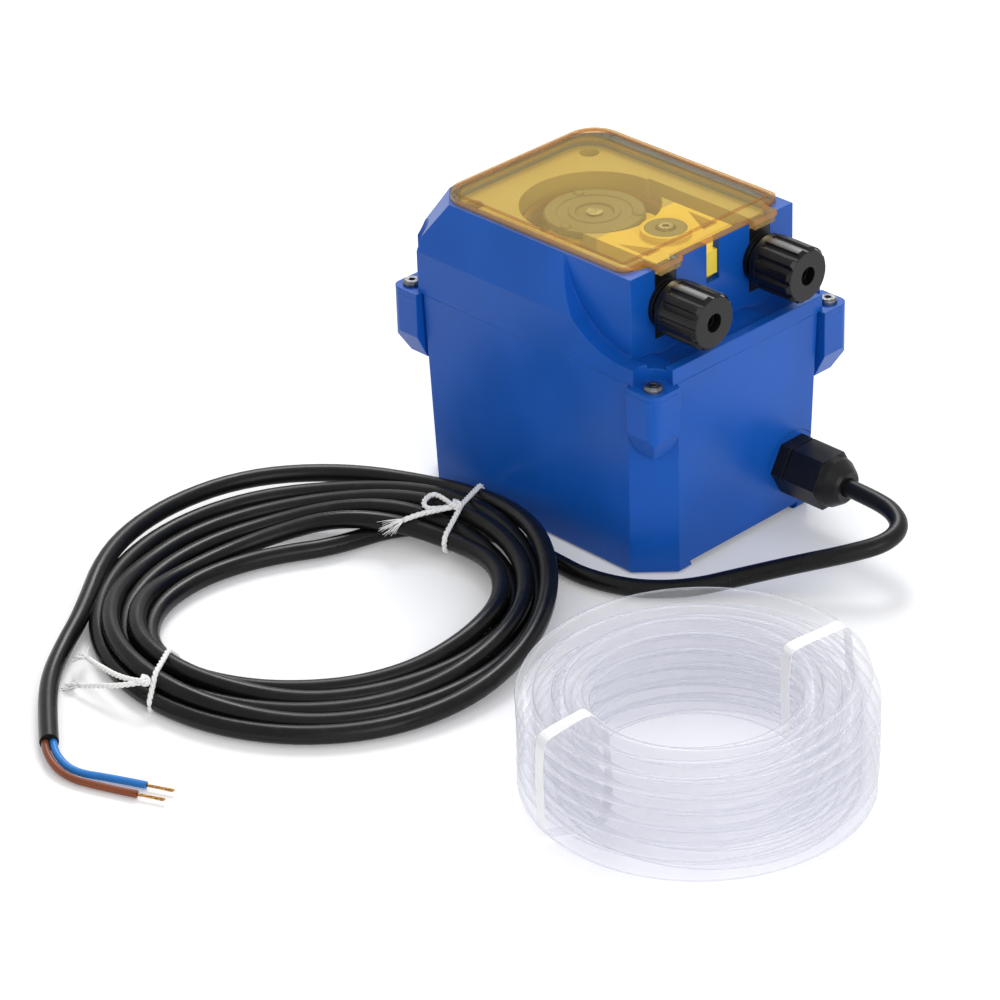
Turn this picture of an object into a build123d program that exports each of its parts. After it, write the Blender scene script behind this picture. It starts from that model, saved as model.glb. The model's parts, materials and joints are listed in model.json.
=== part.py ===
from build123d import *
import math
import os

# Wall-type peristaltic detergent pump, lying on its back. Millimetres, +Z up.
# The origin is the middle of the wall face; the hose nuts and the cable gland look along -Y.

os.makedirs("parts", exist_ok=True)

# Base housing
base_half_x = 45.2          # half width at the back
base_half_y = 60.0          # half length at the back
draft = 1.9                 # how far each wall has moved out at the seam
seam_z = 76.0               # where the two housings meet
corner_cut = 12.0           # wide flats on the four upright corners
base_wall = 2.6
base_floor = 5.6
back_edge_round = 1.6
ear_reach = 2.4             # how far the screw ears stand out past the walls
ear_size = 13.0
ear_height = 24.0
ear_round = 4.0
ear_taper_out = 4.5
ear_taper_up = 9.0

# Front housing
crease_z = 92.0             # where the side walls start to lean in
housing_top = 111.0
top_half_x = 40.5
front_wall_y = -45.4
top_back_y = 52.0
shell_wall = 2.5
front_wall = 3.0
ledge_z = 82.0              # top of the rim in front of the connectors
ledge_dip = 1.6             # the ledge floor lies this much below the rim
rim_width = 3.6
flank_sweep = 33.0          # radius of the curved cut down each flank
flank_sweep_ahead = 2.1     # the sweep's axis stands this far ahead of the front wall
corner_reach_front = 70.7   # the flats' distance from the middle, along the diagonals
corner_reach_back = 71.8
corner_reach_top = 58.35    # the back flats lean in to this at the housing top
corner_crease_z = 93.0
pocket_floor_z = 90.0
pocket_floor_t = 3.0
pocket_half_x = 36.2
pocket_back_y = 49.8
pocket_round = 6.0
pocket_back_round = 10.5
lug_t = 2.0                 # corner lugs under the housing screws
scoop_r = 7.0               # round hollow above each housing screw
screw_inset = 5.4           # housing screw axis from the outer faces of its ear
hand_hollow_r = 18.0        # round hollows in the ledge under the nuts

# Wall bracket under the back
bracket_half_x = 26.0
bracket_t = 2.3
bracket_front = 56.6
bracket_back = 36.0
bracket_edge = 1.4          # slope of the hooked edges
bracket_clear = 0.45
bracket_hole_r = 2.2
bracket_seat_r = 3.5        # countersink of the wall screws
bracket_seat_depth = 1.2
bracket_hole_gap = 60.0
bracket_hole_mid_y = -8.0
bracket_tongue_w = 12.0
bracket_tongue_l = 24.0
bracket_slit = 1.6

# Pump cover
cover_t = 2.2
cover_half_x = 39.0
cover_front_y = -41.0
cover_back_y = 49.6
cover_back_round = 11.0
cover_front_round = 4.0
cover_rim_h = 0.5
cover_rim_w = 1.0
cover_rim_inset = 2.2
cover_skirt_t = 1.2
cover_skirt_h = 1.8
cover_tab_past = 2.6        # how far the tabs reach past the front wall

# Pump head
rotor_y = 11.0
race_r = 26.5
tube_r = 3.2
tube_bore_r = 1.95
tube_flat_t = 2.8           # the tube's thickness where the rollers press it flat
tube_flat_h = 8.4
tube_clear = 0.2
tube_round_before = 15.0    # the tube is round up to here before the rotor's axis
tube_flat_before = 7.0      # and fully flat from here on
hose_axis_z = 96.5
connector_x = 23.5
casing_floor_t = 1.2
casing_top_z = 107.0
casing_clear = 0.3
channel_half = 4.0
channel_low = 4.6           # the channels' floor below the hose axis
casing_screw_x = 29.0
casing_screw_y = 42.0
casing_screw_seat_z = 96.0
boss_y = -23.3
boss_r = 9.0
boss_cap_r = 7.4
boss_top_z = 109.0
boss_cap_t = 3.4
boss_cap_sink = 1.1         # the boss screw's head lies this deep in the cap
slot_half = 3.2
slot_bottom_z = 96.0

# Rotor
roller_count = 3
roller_r = 7.5
roller_clear = 0.3          # from the flattened tube
roller_h = 8.4
roller_edge = 0.7
scallop_r = 4.65            # hollow in the disc over each roller
scallop_floor_t = 1.2
chamber_clear = 0.2         # front wall of the chamber, behind the rollers' reach
hub_clear = 0.5
shaft_fit = 0.02            # radial fit of the D-shaped holes
roller_pin_r = 1.5
running = 0.05              # radial clearance of every running fit
rotor_start = 65.0          # angle of the first roller
rotor_plate_t = 1.2
rotor_disc_t = 2.5
rotor_disc_r = 22.3
rotor_plate_r = 20.0
rotor_hub_r = 5.0
rotor_gap = 0.3
shaft_r = 3.0
shaft_flat = 0.6

# Gear train: three equal stages on two axes
gear_module = 1.0
wheel_teeth = 36
pinion_teeth = 12
tooth_w = 4.0
stage_pitch = 5.0
backlash = 0.14
gear_tip_gap = 1.2
case_wall = 2.0
lid_t = 2.0
lid_gap = 0.5
case_ear_r = 4.4
case_ear_x = 25.6
case_flange_t = 3.0
motor_r = 18.0
motor_h = 32.0
motor_shaft_r = 1.5
stub_r = 2.0
can_wall = 1.0
magnet_t = 3.5
armature_r = 11.5
motor_edge_round = 2.0
motor_boss_r = 4.3          # bearing bosses at both ends of the motor
motor_boss_h = 1.2
motor_cap_t = 3.0
motor_cap_boss_h = 1.6
motor_tag_x = 9.0           # the two terminals on the motor's cap
motor_tag_half_w = 1.4
motor_tag_half_t = 0.3
motor_tag_h = 5.0

# Hose connectors and nuts
recess_half = 5.2
recess_clear = 0.2
recess_bottom_z = 84.5
connector_flange_r = 8.6
connector_flange_t = 1.8
spigot_r = 7.4
spigot_l = 10.8
nozzle_l = 5.0
inner_flange_half = 6.4
inner_flange_t = 2.4
inner_barb_l = 6.6
connector_bore_r = 1.2
nut_r = 10.2
nut_root_r = 9.1
nut_collar_r = 9.7
nut_collar_l = 2.4
nut_l = 18.6
nut_flutes = 12
nut_flute_w = 2.7
nut_gap = 2.0               # bare neck between connector flange and nut
nut_front_wall = 3.0
hose_r = 3.0
nut_hose_clear = 0.4
thread_clear = 0.1
grip_clear = 0.3
grip_r = 6.3
grip_taper = 1.4
grip_slit_half = 0.5
nut_edge = 1.2

# Cable gland
gland_x = 24.0
gland_z = 20.5
gland_af = 19.0
gland_flange_t = 5.0
gland_thread_r = 7.5
gland_seat_y = 60.4         # flat seat for the gland in the sloping wall
gland_seat_r = 12.6
gland_inner_l = 9.5
gland_outer_l = 9.0
gland_cap_gap = 0.6
gland_cap_l = 21.0
gland_nose_l = 7.0
gland_nose_r = 6.6
gland_nut_t = 3.6
gland_nut_sink = 0.2        # the lock nut's seat in the draughted wall
seal_r = 5.5
seal_l = 8.0
cable_r = 3.25
cable_clear = 0.25

# Lead, hose coil and their ties
core_r = 1.3
motor_lead_r = 0.9
strand_r = 0.55
strand_l = 10.5
coil_x = -134.6             # outer turn of the lead's coil, an oval
coil_y = 13.4
coil_long = 91.5
coil_short = 84.1
coil_turn = 52.1
coil_hole_x = -139.0        # inner turn, an oval that lies across the outer one
coil_hole_y = 6.5
coil_hole_long = 57.2
coil_hole_short = 40.2
coil_hole_turn = 150.0
coil_h = 18.7
coil_edge = 3.0
hose_mid_x = -125.5
hose_mid_y = -155.0
hose_columns = 4
hose_layers = 7
hose_hole_r = 34.0
tie_t = 1.2                 # the string
tie_slack = 0.8             # room between a tie and the coil's sides
tie_lift = 0.2              # the strings' gap over the coil's top
tie_knot_r = 2.0
tie_places = [(-67.3, 12.3, 24.6, 21.6), (-207.0, 12.0, 31.1, 17.0)]   # middle x, y, direction, half length
band_w = 5.0
band_t = 0.4
band_slack = 0.15
hose_coil_edge = 2.1
band_angles = (166.0, -14.0)

# Fasteners
housing_screw_l = 12.0
housing_screw_hole = 14.0
boss_screw_l = 9.0
screw_head_r = 3.3
screw_head_h = 1.9
screw_shank_r = 1.5
screw_fit = 0.3
screw_head_edge = 0.76
socket_r = 1.3
socket_depth = 1.14
past = 1.0                  # how far a cutter reaches past the face it cuts

# Worked out from the sizes above
base_top_x = base_half_x + draft
base_top_y = base_half_y + draft
ear_x = base_top_x + ear_reach
ear_y = base_top_y + ear_reach
screw_x = ear_x - screw_inset
screw_y = ear_y - screw_inset
cover_top = housing_top + cover_t
tube_mid_r = race_r - tube_clear - tube_flat_t / 2
roller_reach = tube_mid_r - tube_flat_t / 2 - roller_clear
roller_ring = roller_reach - roller_r
casing_floor_z = pocket_floor_z + casing_floor_t
plate_z = casing_floor_z + rotor_gap
roller_z = plate_z + rotor_plate_t + rotor_gap
disc_z = roller_z + roller_h + rotor_gap
shaft_top = disc_z + rotor_disc_t
gear_gap = gear_module * (wheel_teeth + pinion_teeth) / 2
motor_y = rotor_y - gear_gap
lid_z = pocket_floor_z - pocket_floor_t - lid_t
stage3_z = lid_z - lid_gap - tooth_w
stage2_z = stage3_z - stage_pitch
stage1_z = stage2_z - stage_pitch
case_floor_z = stage1_z - lid_gap
motor_top = case_floor_z - case_wall
case_r = gear_module * (wheel_teeth / 2 + 1) + gear_tip_gap + case_wall
flange_y = front_wall_y - connector_flange_t
nut_back_y = flange_y - nut_gap
nut_end_y = nut_back_y - nut_l
spigot_end_y = flange_y - spigot_l
grip_back_y = spigot_end_y - grip_clear
grip_front_y = nut_end_y + nut_front_wall + grip_clear
gland_cap_y = gland_seat_y + gland_flange_t + gland_cap_gap
exit_y = gland_cap_y + gland_cap_l + 0.5
hose_coil_r = hose_hole_r + 2 * hose_r * hose_columns
hose_coil_h = 2 * hose_r * hose_layers


# Small helpers

def block(x0, x1, y0, y1, z0, z1):
    """A box between two corners."""
    size = Box(x1 - x0, y1 - y0, z1 - z0, align=(Align.MIN, Align.MIN, Align.MIN))
    return Pos(x0, y0, z0) * size


def post(radius, z0, z1, x=0.0, y=0.0):
    """An upright cylinder."""
    body = Cylinder(radius, z1 - z0, align=(Align.CENTER, Align.CENTER, Align.MIN))
    return Pos(x, y, z0) * body


def rod(radius, y0, y1, x, z):
    """A cylinder along -Y, from y0 down to y1."""
    body = Cylinder(radius, y0 - y1, align=(Align.CENTER, Align.CENTER, Align.MIN))
    return Pos(x, y0, z) * Rot(90, 0, 0) * body


def cone_rod(radius0, radius1, y0, y1, x, z):
    """A cone along -Y."""
    body = Cone(radius0, radius1, y0 - y1, align=(Align.CENTER, Align.CENTER, Align.MIN))
    return Pos(x, y0, z) * Rot(90, 0, 0) * body


def four_corners(x, y):
    return [(x, y), (x, -y), (-x, y), (-x, -y)]


def cut_rectangle(half_x, half_y, cut):
    """A rectangle with its corners cut off at 45 degrees."""
    a = half_x - cut
    b = half_y - cut
    points = [
        (a, -half_y), (half_x, -b), (half_x, b), (a, half_y),
        (-a, half_y), (-half_x, b), (-half_x, -b), (-a, -half_y),
    ]
    return make_face(Polyline(*points, close=True))


def pan_screw(x, y, z, length):
    """A pan-head screw that points down; z is the seat of its head."""
    head = post(screw_head_r, z, z + screw_head_h, x, y)
    head = chamfer(head.edges().group_by(Axis.Z)[-1], screw_head_edge)
    socket = Pos(x, y, z + screw_head_h) * extrude(RegularPolygon(socket_r, 6), -socket_depth)
    return head + post(screw_shank_r, z - length, z, x, y) - socket


def save(name, shape):
    export_step(shape, f"parts/{name}.step")


def group(solids):
    return Compound(children=list(solids))


# Base housing

def cavity_cut(wall):
    """Corner cut of an inner outline that leaves an even wall."""
    return corner_cut - wall * (2 - math.sqrt(2))


def bracket_profile(gap):
    """Cross-section of the hooked bracket, grown by gap for its channel."""
    low = bracket_half_x + gap
    high = low + bracket_edge
    top = bracket_t + gap
    points = [(-low, -gap), (low, -gap), (high, top), (-high, top)]
    return make_face(Polyline(*points, close=True))


def ear(sx, sy):
    """A screw ear that fills one upright corner under the seam."""
    top = seam_z - lug_t
    x0, x1 = sorted((sx * ear_x, sx * (ear_x - ear_size)))
    y0, y1 = sorted((sy * ear_y, sy * (ear_y - ear_size)))
    body = block(x0, x1, y0, y1, top - ear_height, top)
    low = body.edges().group_by(Axis.Z)[0]
    outer_x = [e for e in low if abs(e.center().X - sx * ear_x) < 0.01]
    body = chamfer(outer_x, ear_taper_up, ear_taper_out, reference=body.faces().sort_by(Axis.X)[-1 if sx > 0 else 0])
    low = body.edges().group_by(Axis.Z)[0]
    outer_y = low.sort_by(Axis.Y)[-1 if sy > 0 else 0]
    body = chamfer(outer_y, ear_taper_up, ear_taper_out, reference=body.faces().sort_by(Axis.Y)[-1 if sy > 0 else 0])
    upright = body.edges().filter_by(Axis.Z)
    corner = upright.sort_by_distance(Vertex(sx * ear_x, sy * ear_y, top))[0]
    return fillet(corner, ear_round)


def base_housing():
    low = cut_rectangle(base_half_x, base_half_y, corner_cut)
    high = Pos(0, 0, seam_z) * cut_rectangle(base_top_x, base_top_y, corner_cut)
    shell = loft([low, high])
    shell = fillet(shell.edges().group_by(Axis.Z)[0], back_edge_round)
    for x, y in four_corners(1, 1):
        shell += ear(x, y)
    rise = base_floor / seam_z * draft
    inner_low = cut_rectangle(base_half_x + rise - base_wall, base_half_y + rise - base_wall, cavity_cut(base_wall))
    inner_high = cut_rectangle(base_top_x - base_wall, base_top_y - base_wall, cavity_cut(base_wall))
    cavity = loft([Pos(0, 0, base_floor) * inner_low, Pos(0, 0, seam_z) * inner_high])
    for x, y in four_corners(screw_x, screw_y):
        cavity -= post(screw_inset, base_floor, seam_z, x, y)
    shell -= cavity
    for sx, sy in four_corners(1, 1):
        x0, x1 = sorted((sx * (ear_x + 1), sx * (ear_x - ear_size - 1)))
        y0, y1 = sorted((sy * (ear_y + 1), sy * (ear_y - ear_size - 1)))
        shell -= block(x0, x1, y0, y1, seam_z - lug_t, seam_z + past)
        shell -= post(screw_shank_r, seam_z - lug_t - housing_screw_hole, seam_z, sx * screw_x, sy * screw_y)
    # Channel for the bracket, open at the connector end
    channel = Pos(0, bracket_back + bracket_clear, 0) * Rot(90, 0, 0) * bracket_profile(bracket_clear)
    shell -= extrude(channel, amount=-(bracket_back + base_half_y + 10), dir=(0, 1, 0))
    # Seats and hole of the gland
    shell -= rod(gland_seat_r, -gland_seat_y, -gland_seat_y - 5, gland_x, gland_z)
    inner_seat = gland_seat_y - base_wall + gland_nut_sink
    shell -= rod(gland_seat_r, -inner_seat + 5, -inner_seat, gland_x, gland_z)
    shell -= rod(gland_thread_r + screw_fit, -gland_seat_y + 9, -gland_seat_y - past, gland_x, gland_z)
    return shell


def wall_bracket():
    """The hooked plate that is screwed to the wall; the pump slides down over it."""
    plate = Pos(0, bracket_back, 0) * Rot(90, 0, 0) * bracket_profile(0)
    plate = extrude(plate, amount=-(bracket_back + bracket_front), dir=(0, 1, 0))
    for sign in (-1, 1):
        y = bracket_hole_mid_y + sign * bracket_hole_gap / 2
        plate -= post(bracket_hole_r, -past, bracket_t + past, 0, y)
        seat = Cone(bracket_hole_r, bracket_seat_r, bracket_seat_depth, align=(Align.CENTER, Align.CENTER, Align.MAX))
        plate -= Pos(0, y, bracket_t) * seat
    # Spring tongue that clicks behind a rib of the housing
    half = bracket_tongue_w / 2
    y0 = bracket_hole_mid_y - bracket_tongue_l / 2
    y1 = y0 + bracket_tongue_l
    for sign in (-1, 1):
        x0, x1 = sorted((sign * half, sign * (half + bracket_slit)))
        plate -= block(x0, x1, y0, y1, -past, bracket_t + past)
    plate -= block(-half - bracket_slit, half + bracket_slit, y1 - bracket_slit, y1, -past, bracket_t + past)
    return plate


# Front housing

def side_profile(inset):
    """Cross-section looking along Y, with leaning upper walls."""
    bottom = base_top_x - inset
    top = top_half_x - inset
    points = [
        (-bottom, seam_z), (bottom, seam_z), (bottom, crease_z),
        (top, housing_top), (-top, housing_top), (-bottom, crease_z),
    ]
    return make_face(Polyline(*points, close=True))


def lengthwise_profile(inset, ledge, front, top):
    """Section looking along X: ledge, upright front wall, leaning back wall."""
    tip = base_top_y - inset
    lean = (base_top_y - top_back_y) / (housing_top - crease_z)
    back = tip - lean * max(0.0, top - crease_z)
    points = [
        (-tip, seam_z), (-tip, ledge), (front, ledge), (front, top),
        (back, top), (tip, min(crease_z, top)), (tip, seam_z),
    ]
    if top <= crease_z:
        points.pop(5)
        points[4] = (tip, top)
    return make_face(Polyline(*points, close=True))


def across(face, half):
    """Extrude a Y-Z face both ways along X."""
    turned = Rot(0, 0, 90) * Rot(90, 0, 0) * face
    return extrude(turned, amount=half, both=True)


def along(face, y0, y1):
    """Extrude an X-Z face from y0 to y1."""
    turned = Pos(0, y0, 0) * Rot(90, 0, 0) * face
    return extrude(turned, amount=y1 - y0, dir=(0, 1, 0))


def round_rectangle(x0, x1, y0, y1, front_radius, back_radius):
    face = Pos((x0 + x1) / 2, (y0 + y1) / 2) * Rectangle(x1 - x0, y1 - y0)
    face = fillet(face.vertices().group_by(Axis.Y)[-1], back_radius)
    return fillet(face.vertices().group_by(Axis.Y)[0], front_radius)


def pocket_outline(inset):
    """Outline of the pump head's pocket, moved in by inset."""
    half = pocket_half_x - inset
    front = front_wall_y + front_wall + inset
    return round_rectangle(-half, half, front, pocket_back_y - inset, pocket_round - inset, pocket_back_round - inset)


def cover_outline(inset):
    """Outline of the cover plate, moved in by inset."""
    half = cover_half_x - inset
    back = cover_back_y - inset
    return round_rectangle(-half, half, cover_front_y + inset, back, cover_front_round - inset, cover_back_round - inset)


def corner_flats():
    """What the flats take off the upright corners; the back pair leans in like the walls."""
    far = corner_reach_back + 60
    high = housing_top + 5
    slope = (corner_reach_back - corner_reach_top) / (housing_top - corner_crease_z)
    low_edge = corner_reach_top - slope * (high - housing_top)
    back = make_face(Polyline(
        (corner_reach_back, seam_z), (corner_reach_back, corner_crease_z), (low_edge, high),
        (far, high), (far, seam_z), close=True))
    back = along(back, -50, 50)
    front = block(corner_reach_front, far, -50, 50, seam_z, high)
    flats = Rot(0, 0, 45) * back + Rot(0, 0, 135) * back
    return flats + Rot(0, 0, -45) * front + Rot(0, 0, -135) * front


def flank_cut(y, z, half, radius):
    """What the curved sweep takes off outside x = half on both flanks."""
    low = z - radius
    cuts = []
    for sign in (-1, 1):
        x0, x1 = sorted((sign * half, sign * (base_top_x + 10)))
        curved = Cylinder(radius, x1 - x0, align=(Align.CENTER, Align.CENTER, Align.MIN))
        straight = block(x0, x1, -base_top_y - 5, y, low, housing_top + 5)
        cuts.append(Pos(x0, y, z) * Rot(0, 90, 0) * curved + straight)
    return cuts[0] + cuts[1]


def front_housing():
    outer = along(side_profile(0), -base_top_y, base_top_y)
    outer &= across(lengthwise_profile(0, ledge_z, front_wall_y, housing_top), base_top_x + 5)
    # Curved sweep down each flank
    sweep_y = front_wall_y - flank_sweep_ahead
    sweep_z = ledge_z + flank_sweep
    outer -= flank_cut(sweep_y, sweep_z, top_half_x, flank_sweep)
    # Flat upright corners and the hollows above the housing screws
    for sx, sy in four_corners(1, 1):
        x0, x1 = sorted((sx * ear_x, sx * (ear_x - ear_size)))
        y0, y1 = sorted((sy * ear_y, sy * (ear_y - ear_size)))
        outer += block(x0, x1, y0, y1, seam_z - lug_t, seam_z)
    upright = outer.edges().filter_by(Axis.Z).filter_by(lambda e: abs(e.center().X) > ear_x - 0.1 and abs(e.center().Y) > ear_y - 0.1)
    outer = fillet(upright, ear_round)
    outer -= corner_flats()
    for x, y in four_corners(screw_x, screw_y):
        outer -= post(scoop_r, seam_z, housing_top + 5, x, y)
        outer -= post(screw_shank_r + screw_fit, seam_z - lug_t - past, seam_z + past, x, y)
    # Hollow inside, under the pocket floor
    ceiling = pocket_floor_z - pocket_floor_t
    inside = along(side_profile(shell_wall), -base_top_y, base_top_y)
    inside &= across(lengthwise_profile(shell_wall, seam_z + 1.2, front_wall_y + front_wall, ceiling), base_top_x)
    inner_cut = ear_size + ear_size - ear_reach
    inside &= extrude(cut_rectangle(base_top_x, base_top_y, inner_cut), housing_top)
    inside -= flank_cut(sweep_y, sweep_z, top_half_x - shell_wall, flank_sweep + shell_wall)
    outer -= inside
    # Pocket for the pump head
    outer -= Pos(0, 0, pocket_floor_z) * extrude(pocket_outline(0), housing_top)
    # Ledge floor inside its rim, with the hand hollows
    floor_y = -base_top_y + rim_width
    floor_x = top_half_x
    outer -= block(-floor_x, floor_x, floor_y, front_wall_y, ledge_z - ledge_dip, ledge_z + 0.5)
    for sign in (-1, 1):
        hollow = rod(hand_hollow_r, front_wall_y, floor_y, sign * connector_x, hose_axis_z)
        outer -= hollow
    # Openings in the front wall
    for sign in (-1, 1):
        x = sign * connector_x
        outer -= block(x - recess_half, x + recess_half, front_wall_y - past, front_wall_y + front_wall + past, recess_bottom_z, housing_top + past)
    outer -= block(-slot_half, slot_half, front_wall_y - past, front_wall_y + front_wall + past, slot_bottom_z, housing_top + past)
    # Holes for the shaft bush and the screws from both sides
    outer -= post(rotor_hub_r, ceiling - past, pocket_floor_z + past, 0, rotor_y)
    for x in (-1, 1):
        outer -= post(screw_shank_r, ceiling - past, pocket_floor_z - 0.4, x * case_ear_x, rotor_y)
        outer -= post(screw_shank_r, ceiling - past, pocket_floor_z - 0.4, x * case_ear_x, motor_y)
        outer -= post(screw_shank_r, ceiling + 0.4, pocket_floor_z + past, x * casing_screw_x, casing_screw_y)
    return outer


def pump_cover():
    body = Pos(0, 0, housing_top) * extrude(cover_outline(0), cover_t)
    # Middle part of the front edge, flush with the front wall, and the two tabs
    inner = connector_x - recess_half
    body += block(-inner, inner, front_wall_y, cover_front_y + past, housing_top, cover_top)
    for sign in (-1, 1):
        x = sign * connector_x
        half = recess_half - recess_clear
        body += block(x - half - past, x + half + past, front_wall_y - cover_tab_past, cover_front_y + past, housing_top, cover_top)
        body += block(x - half, x + half, front_wall_y - cover_tab_past, front_wall_y + front_wall - 0.3, housing_top - cover_skirt_h, housing_top)
    # Raised rim line inside the edge
    ring = cover_outline(cover_rim_inset) - cover_outline(cover_rim_inset + cover_rim_w)
    body += Pos(0, 0, cover_top) * extrude(ring, cover_rim_h)
    # Locating skirt that drops into the pocket
    front = front_wall_y + front_wall
    skirt = pocket_outline(casing_clear) - pocket_outline(casing_clear + cover_skirt_t)
    skirt = Pos(0, 0, housing_top - cover_skirt_h) * extrude(skirt, cover_skirt_h)
    for sign in (-1, 1):
        x = sign * connector_x
        half = inner_flange_half + 0.5
        skirt -= block(x - half, x + half, front - past, front + 6, 0, housing_top)
    return body + skirt


# Pump head

def head_casing():
    front = front_wall_y + front_wall + casing_clear
    body = Pos(0, 0, pocket_floor_z) * extrude(pocket_outline(casing_clear), casing_top_z - pocket_floor_z)
    # Rotor chamber: round race at the back, closer wall in front
    race = Circle(race_r) & (Pos(0, race_r) * Rectangle(4 * race_r, 2 * race_r))
    front_arc = Circle(roller_reach + roller_clear + chamber_clear)
    chamber = Pos(0, rotor_y, casing_floor_z) * extrude(race + front_arc, casing_top_z)
    body -= chamber
    body -= post(rotor_hub_r + hub_clear, pocket_floor_z - past, casing_floor_z + past, 0, rotor_y)
    low = hose_axis_z - channel_low
    for sign in (-1, 1):
        x = sign * connector_x
        body -= block(x - channel_half, x + channel_half, front - past, rotor_y, low, casing_top_z + past)
        half = inner_flange_half + recess_clear
        body -= block(x - half, x + half, front - past, front_wall_y + front_wall + inner_flange_t + 0.4, pocket_floor_z - past, casing_top_z + past)
        body -= post(screw_shank_r + screw_fit, pocket_floor_z - past, casing_top_z, sign * casing_screw_x, casing_screw_y)
        body -= post(screw_head_r + screw_fit, casing_screw_seat_z, casing_top_z + past, sign * casing_screw_x, casing_screw_y)
        # Slanted hollow beside the boss, open at the top
        inner = boss_r + 1.5
        points = [(sign * inner, boss_y - 8), (sign * (connector_x - channel_half - 2), boss_y - 8), (sign * (connector_x - channel_half - 2), boss_y + 6)]
        hollow = make_face(Polyline(*points, close=True))
        body -= Pos(0, 0, casing_floor_z + 2) * extrude(hollow, casing_top_z)
    # Boss with its cap seat, and the rib that fills the slot in the front wall
    body += post(boss_r, casing_top_z - past, boss_top_z, 0, boss_y)
    body -= post(boss_cap_r + 0.1, boss_top_z - boss_cap_t, boss_top_z + past, 0, boss_y)
    body -= post(screw_shank_r, boss_top_z - boss_cap_t - boss_screw_l, boss_top_z, 0, boss_y)
    rib = slot_half - casing_clear
    body += block(-rib, rib, front_wall_y + 0.8, front + 2, slot_bottom_z + 2, casing_top_z)
    return body


def roller_places():
    step = 360 / roller_count
    places = []
    for index in range(roller_count):
        angle = math.radians(rotor_start + index * step)
        places.append((roller_ring * math.cos(angle), rotor_y + roller_ring * math.sin(angle)))
    return places


def shaft_hole(z0, z1):
    """A D-shaped hole for the output shaft."""
    hole = post(shaft_r + shaft_fit, z0, z1, 0, rotor_y)
    flat = shaft_r - shaft_flat + shaft_fit
    return hole & block(-10, flat, rotor_y - 10, rotor_y + 10, z0, z1)


def rotor_disc():
    """Upper plate of the rotor, with a scallop over each roller and its hub."""
    body = post(rotor_disc_r, disc_z, shaft_top, 0, rotor_y)
    for x, y in roller_places():
        body -= post(scallop_r, disc_z + scallop_floor_t, shaft_top + past, x, y)
        body -= post(roller_pin_r, disc_z - past, shaft_top + past, x, y)
    body += post(rotor_hub_r, plate_z + rotor_plate_t, disc_z, 0, rotor_y)
    return body - shaft_hole(plate_z, shaft_top + 1)


def rotor_plate():
    body = post(rotor_plate_r, plate_z, plate_z + rotor_plate_t, 0, rotor_y)
    for x, y in roller_places():
        body -= post(roller_pin_r, plate_z - past, plate_z + rotor_plate_t + past, x, y)
    return body - shaft_hole(plate_z - 1, plate_z + rotor_plate_t + 1)


def roller(place):
    x, y = place
    body = post(roller_r, roller_z, roller_z + roller_h, x, y)
    body = chamfer(body.edges().filter_by(GeomType.CIRCLE), roller_edge)
    return body - post(roller_pin_r + running, roller_z - past, roller_z + roller_h + past, x, y)


def roller_pins():
    pins = []
    for x, y in roller_places():
        pins.append(post(roller_pin_r, plate_z, disc_z + scallop_floor_t, x, y))
    return group(pins)


def pump_tube():
    """The squeezed tube: two round legs and a flat half-turn round the race."""
    flat = Pos(tube_mid_r, 0, hose_axis_z) * Rot(90, 0, 0) * Ellipse(tube_flat_t / 2, tube_flat_h / 2)
    body = Pos(0, rotor_y, 0) * revolve(flat, Axis.Z, 180)
    back_y = front_wall_y + front_wall + inner_flange_t
    round_end = rotor_y - tube_round_before
    flat_end = rotor_y - tube_flat_before
    for sign in (-1, 1):
        x = sign * connector_x
        ring = Pos(x, round_end, hose_axis_z) * Rot(90, 0, 0) * Circle(tube_r)
        oval = Pos(sign * tube_mid_r, flat_end, hose_axis_z) * Rot(90, 0, 0) * Ellipse(tube_flat_t / 2, tube_flat_h / 2)
        body += loft([ring, oval]) + extrude(oval, amount=flat_end - rotor_y, dir=(0, -1, 0))
        body += rod(tube_r, round_end, back_y, x, hose_axis_z)
        body -= rod(tube_bore_r, round_end + 2, back_y - past, x, hose_axis_z)
    return body


def boss_cap():
    z0 = boss_top_z - boss_cap_t
    body = post(boss_cap_r, z0, boss_top_z, 0, boss_y)
    body -= post(screw_head_r + screw_fit, boss_top_z - boss_cap_sink, boss_top_z + past, 0, boss_y)
    return body - post(screw_shank_r, z0 - 1, boss_top_z, 0, boss_y)


# Gearmotor

def gear_face(teeth, clearance):
    """An involute spur gear outline, with a tooth on the +X axis."""
    pitch_r = gear_module * teeth / 2
    base_r = pitch_r * math.cos(math.radians(20))
    tip_r = pitch_r + gear_module * 0.95
    root_r = pitch_r - gear_module * 1.25

    def roll(radius):
        angle = math.acos(min(1.0, base_r / radius))
        return math.tan(angle) - angle

    half_tooth = math.pi / (2 * teeth) - clearance / (2 * pitch_r)
    radii = [root_r, pitch_r, tip_r]
    points = []
    for index in range(teeth):
        middle = 2 * math.pi * index / teeth
        offsets = [half_tooth + roll(pitch_r) - roll(max(r, base_r)) for r in radii]
        flank = list(zip(radii, offsets))
        for radius, offset in flank:
            points.append((radius * math.cos(middle - offset), radius * math.sin(middle - offset)))
        for radius, offset in reversed(flank):
            points.append((radius * math.cos(middle + offset), radius * math.sin(middle + offset)))
    return make_face(Polyline(*points, close=True))


def gear(teeth, z, y, turn=0.0):
    face = Rot(0, 0, turn) * gear_face(teeth, backlash)
    return Pos(0, y, z) * extrude(face, tooth_w)


def compound_gear(z, y, bore_r):
    """A wheel with the next stage's pinion on top."""
    link = post(gear_module * pinion_teeth / 2 - 1.3, z + tooth_w, z + stage_pitch, 0, y)
    body = gear(wheel_teeth, z, y) + link + gear(pinion_teeth, z + stage_pitch, y, 180 / pinion_teeth)
    return body - post(bore_r + running, z - past, z + stage_pitch + tooth_w + past, 0, y)


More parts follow.
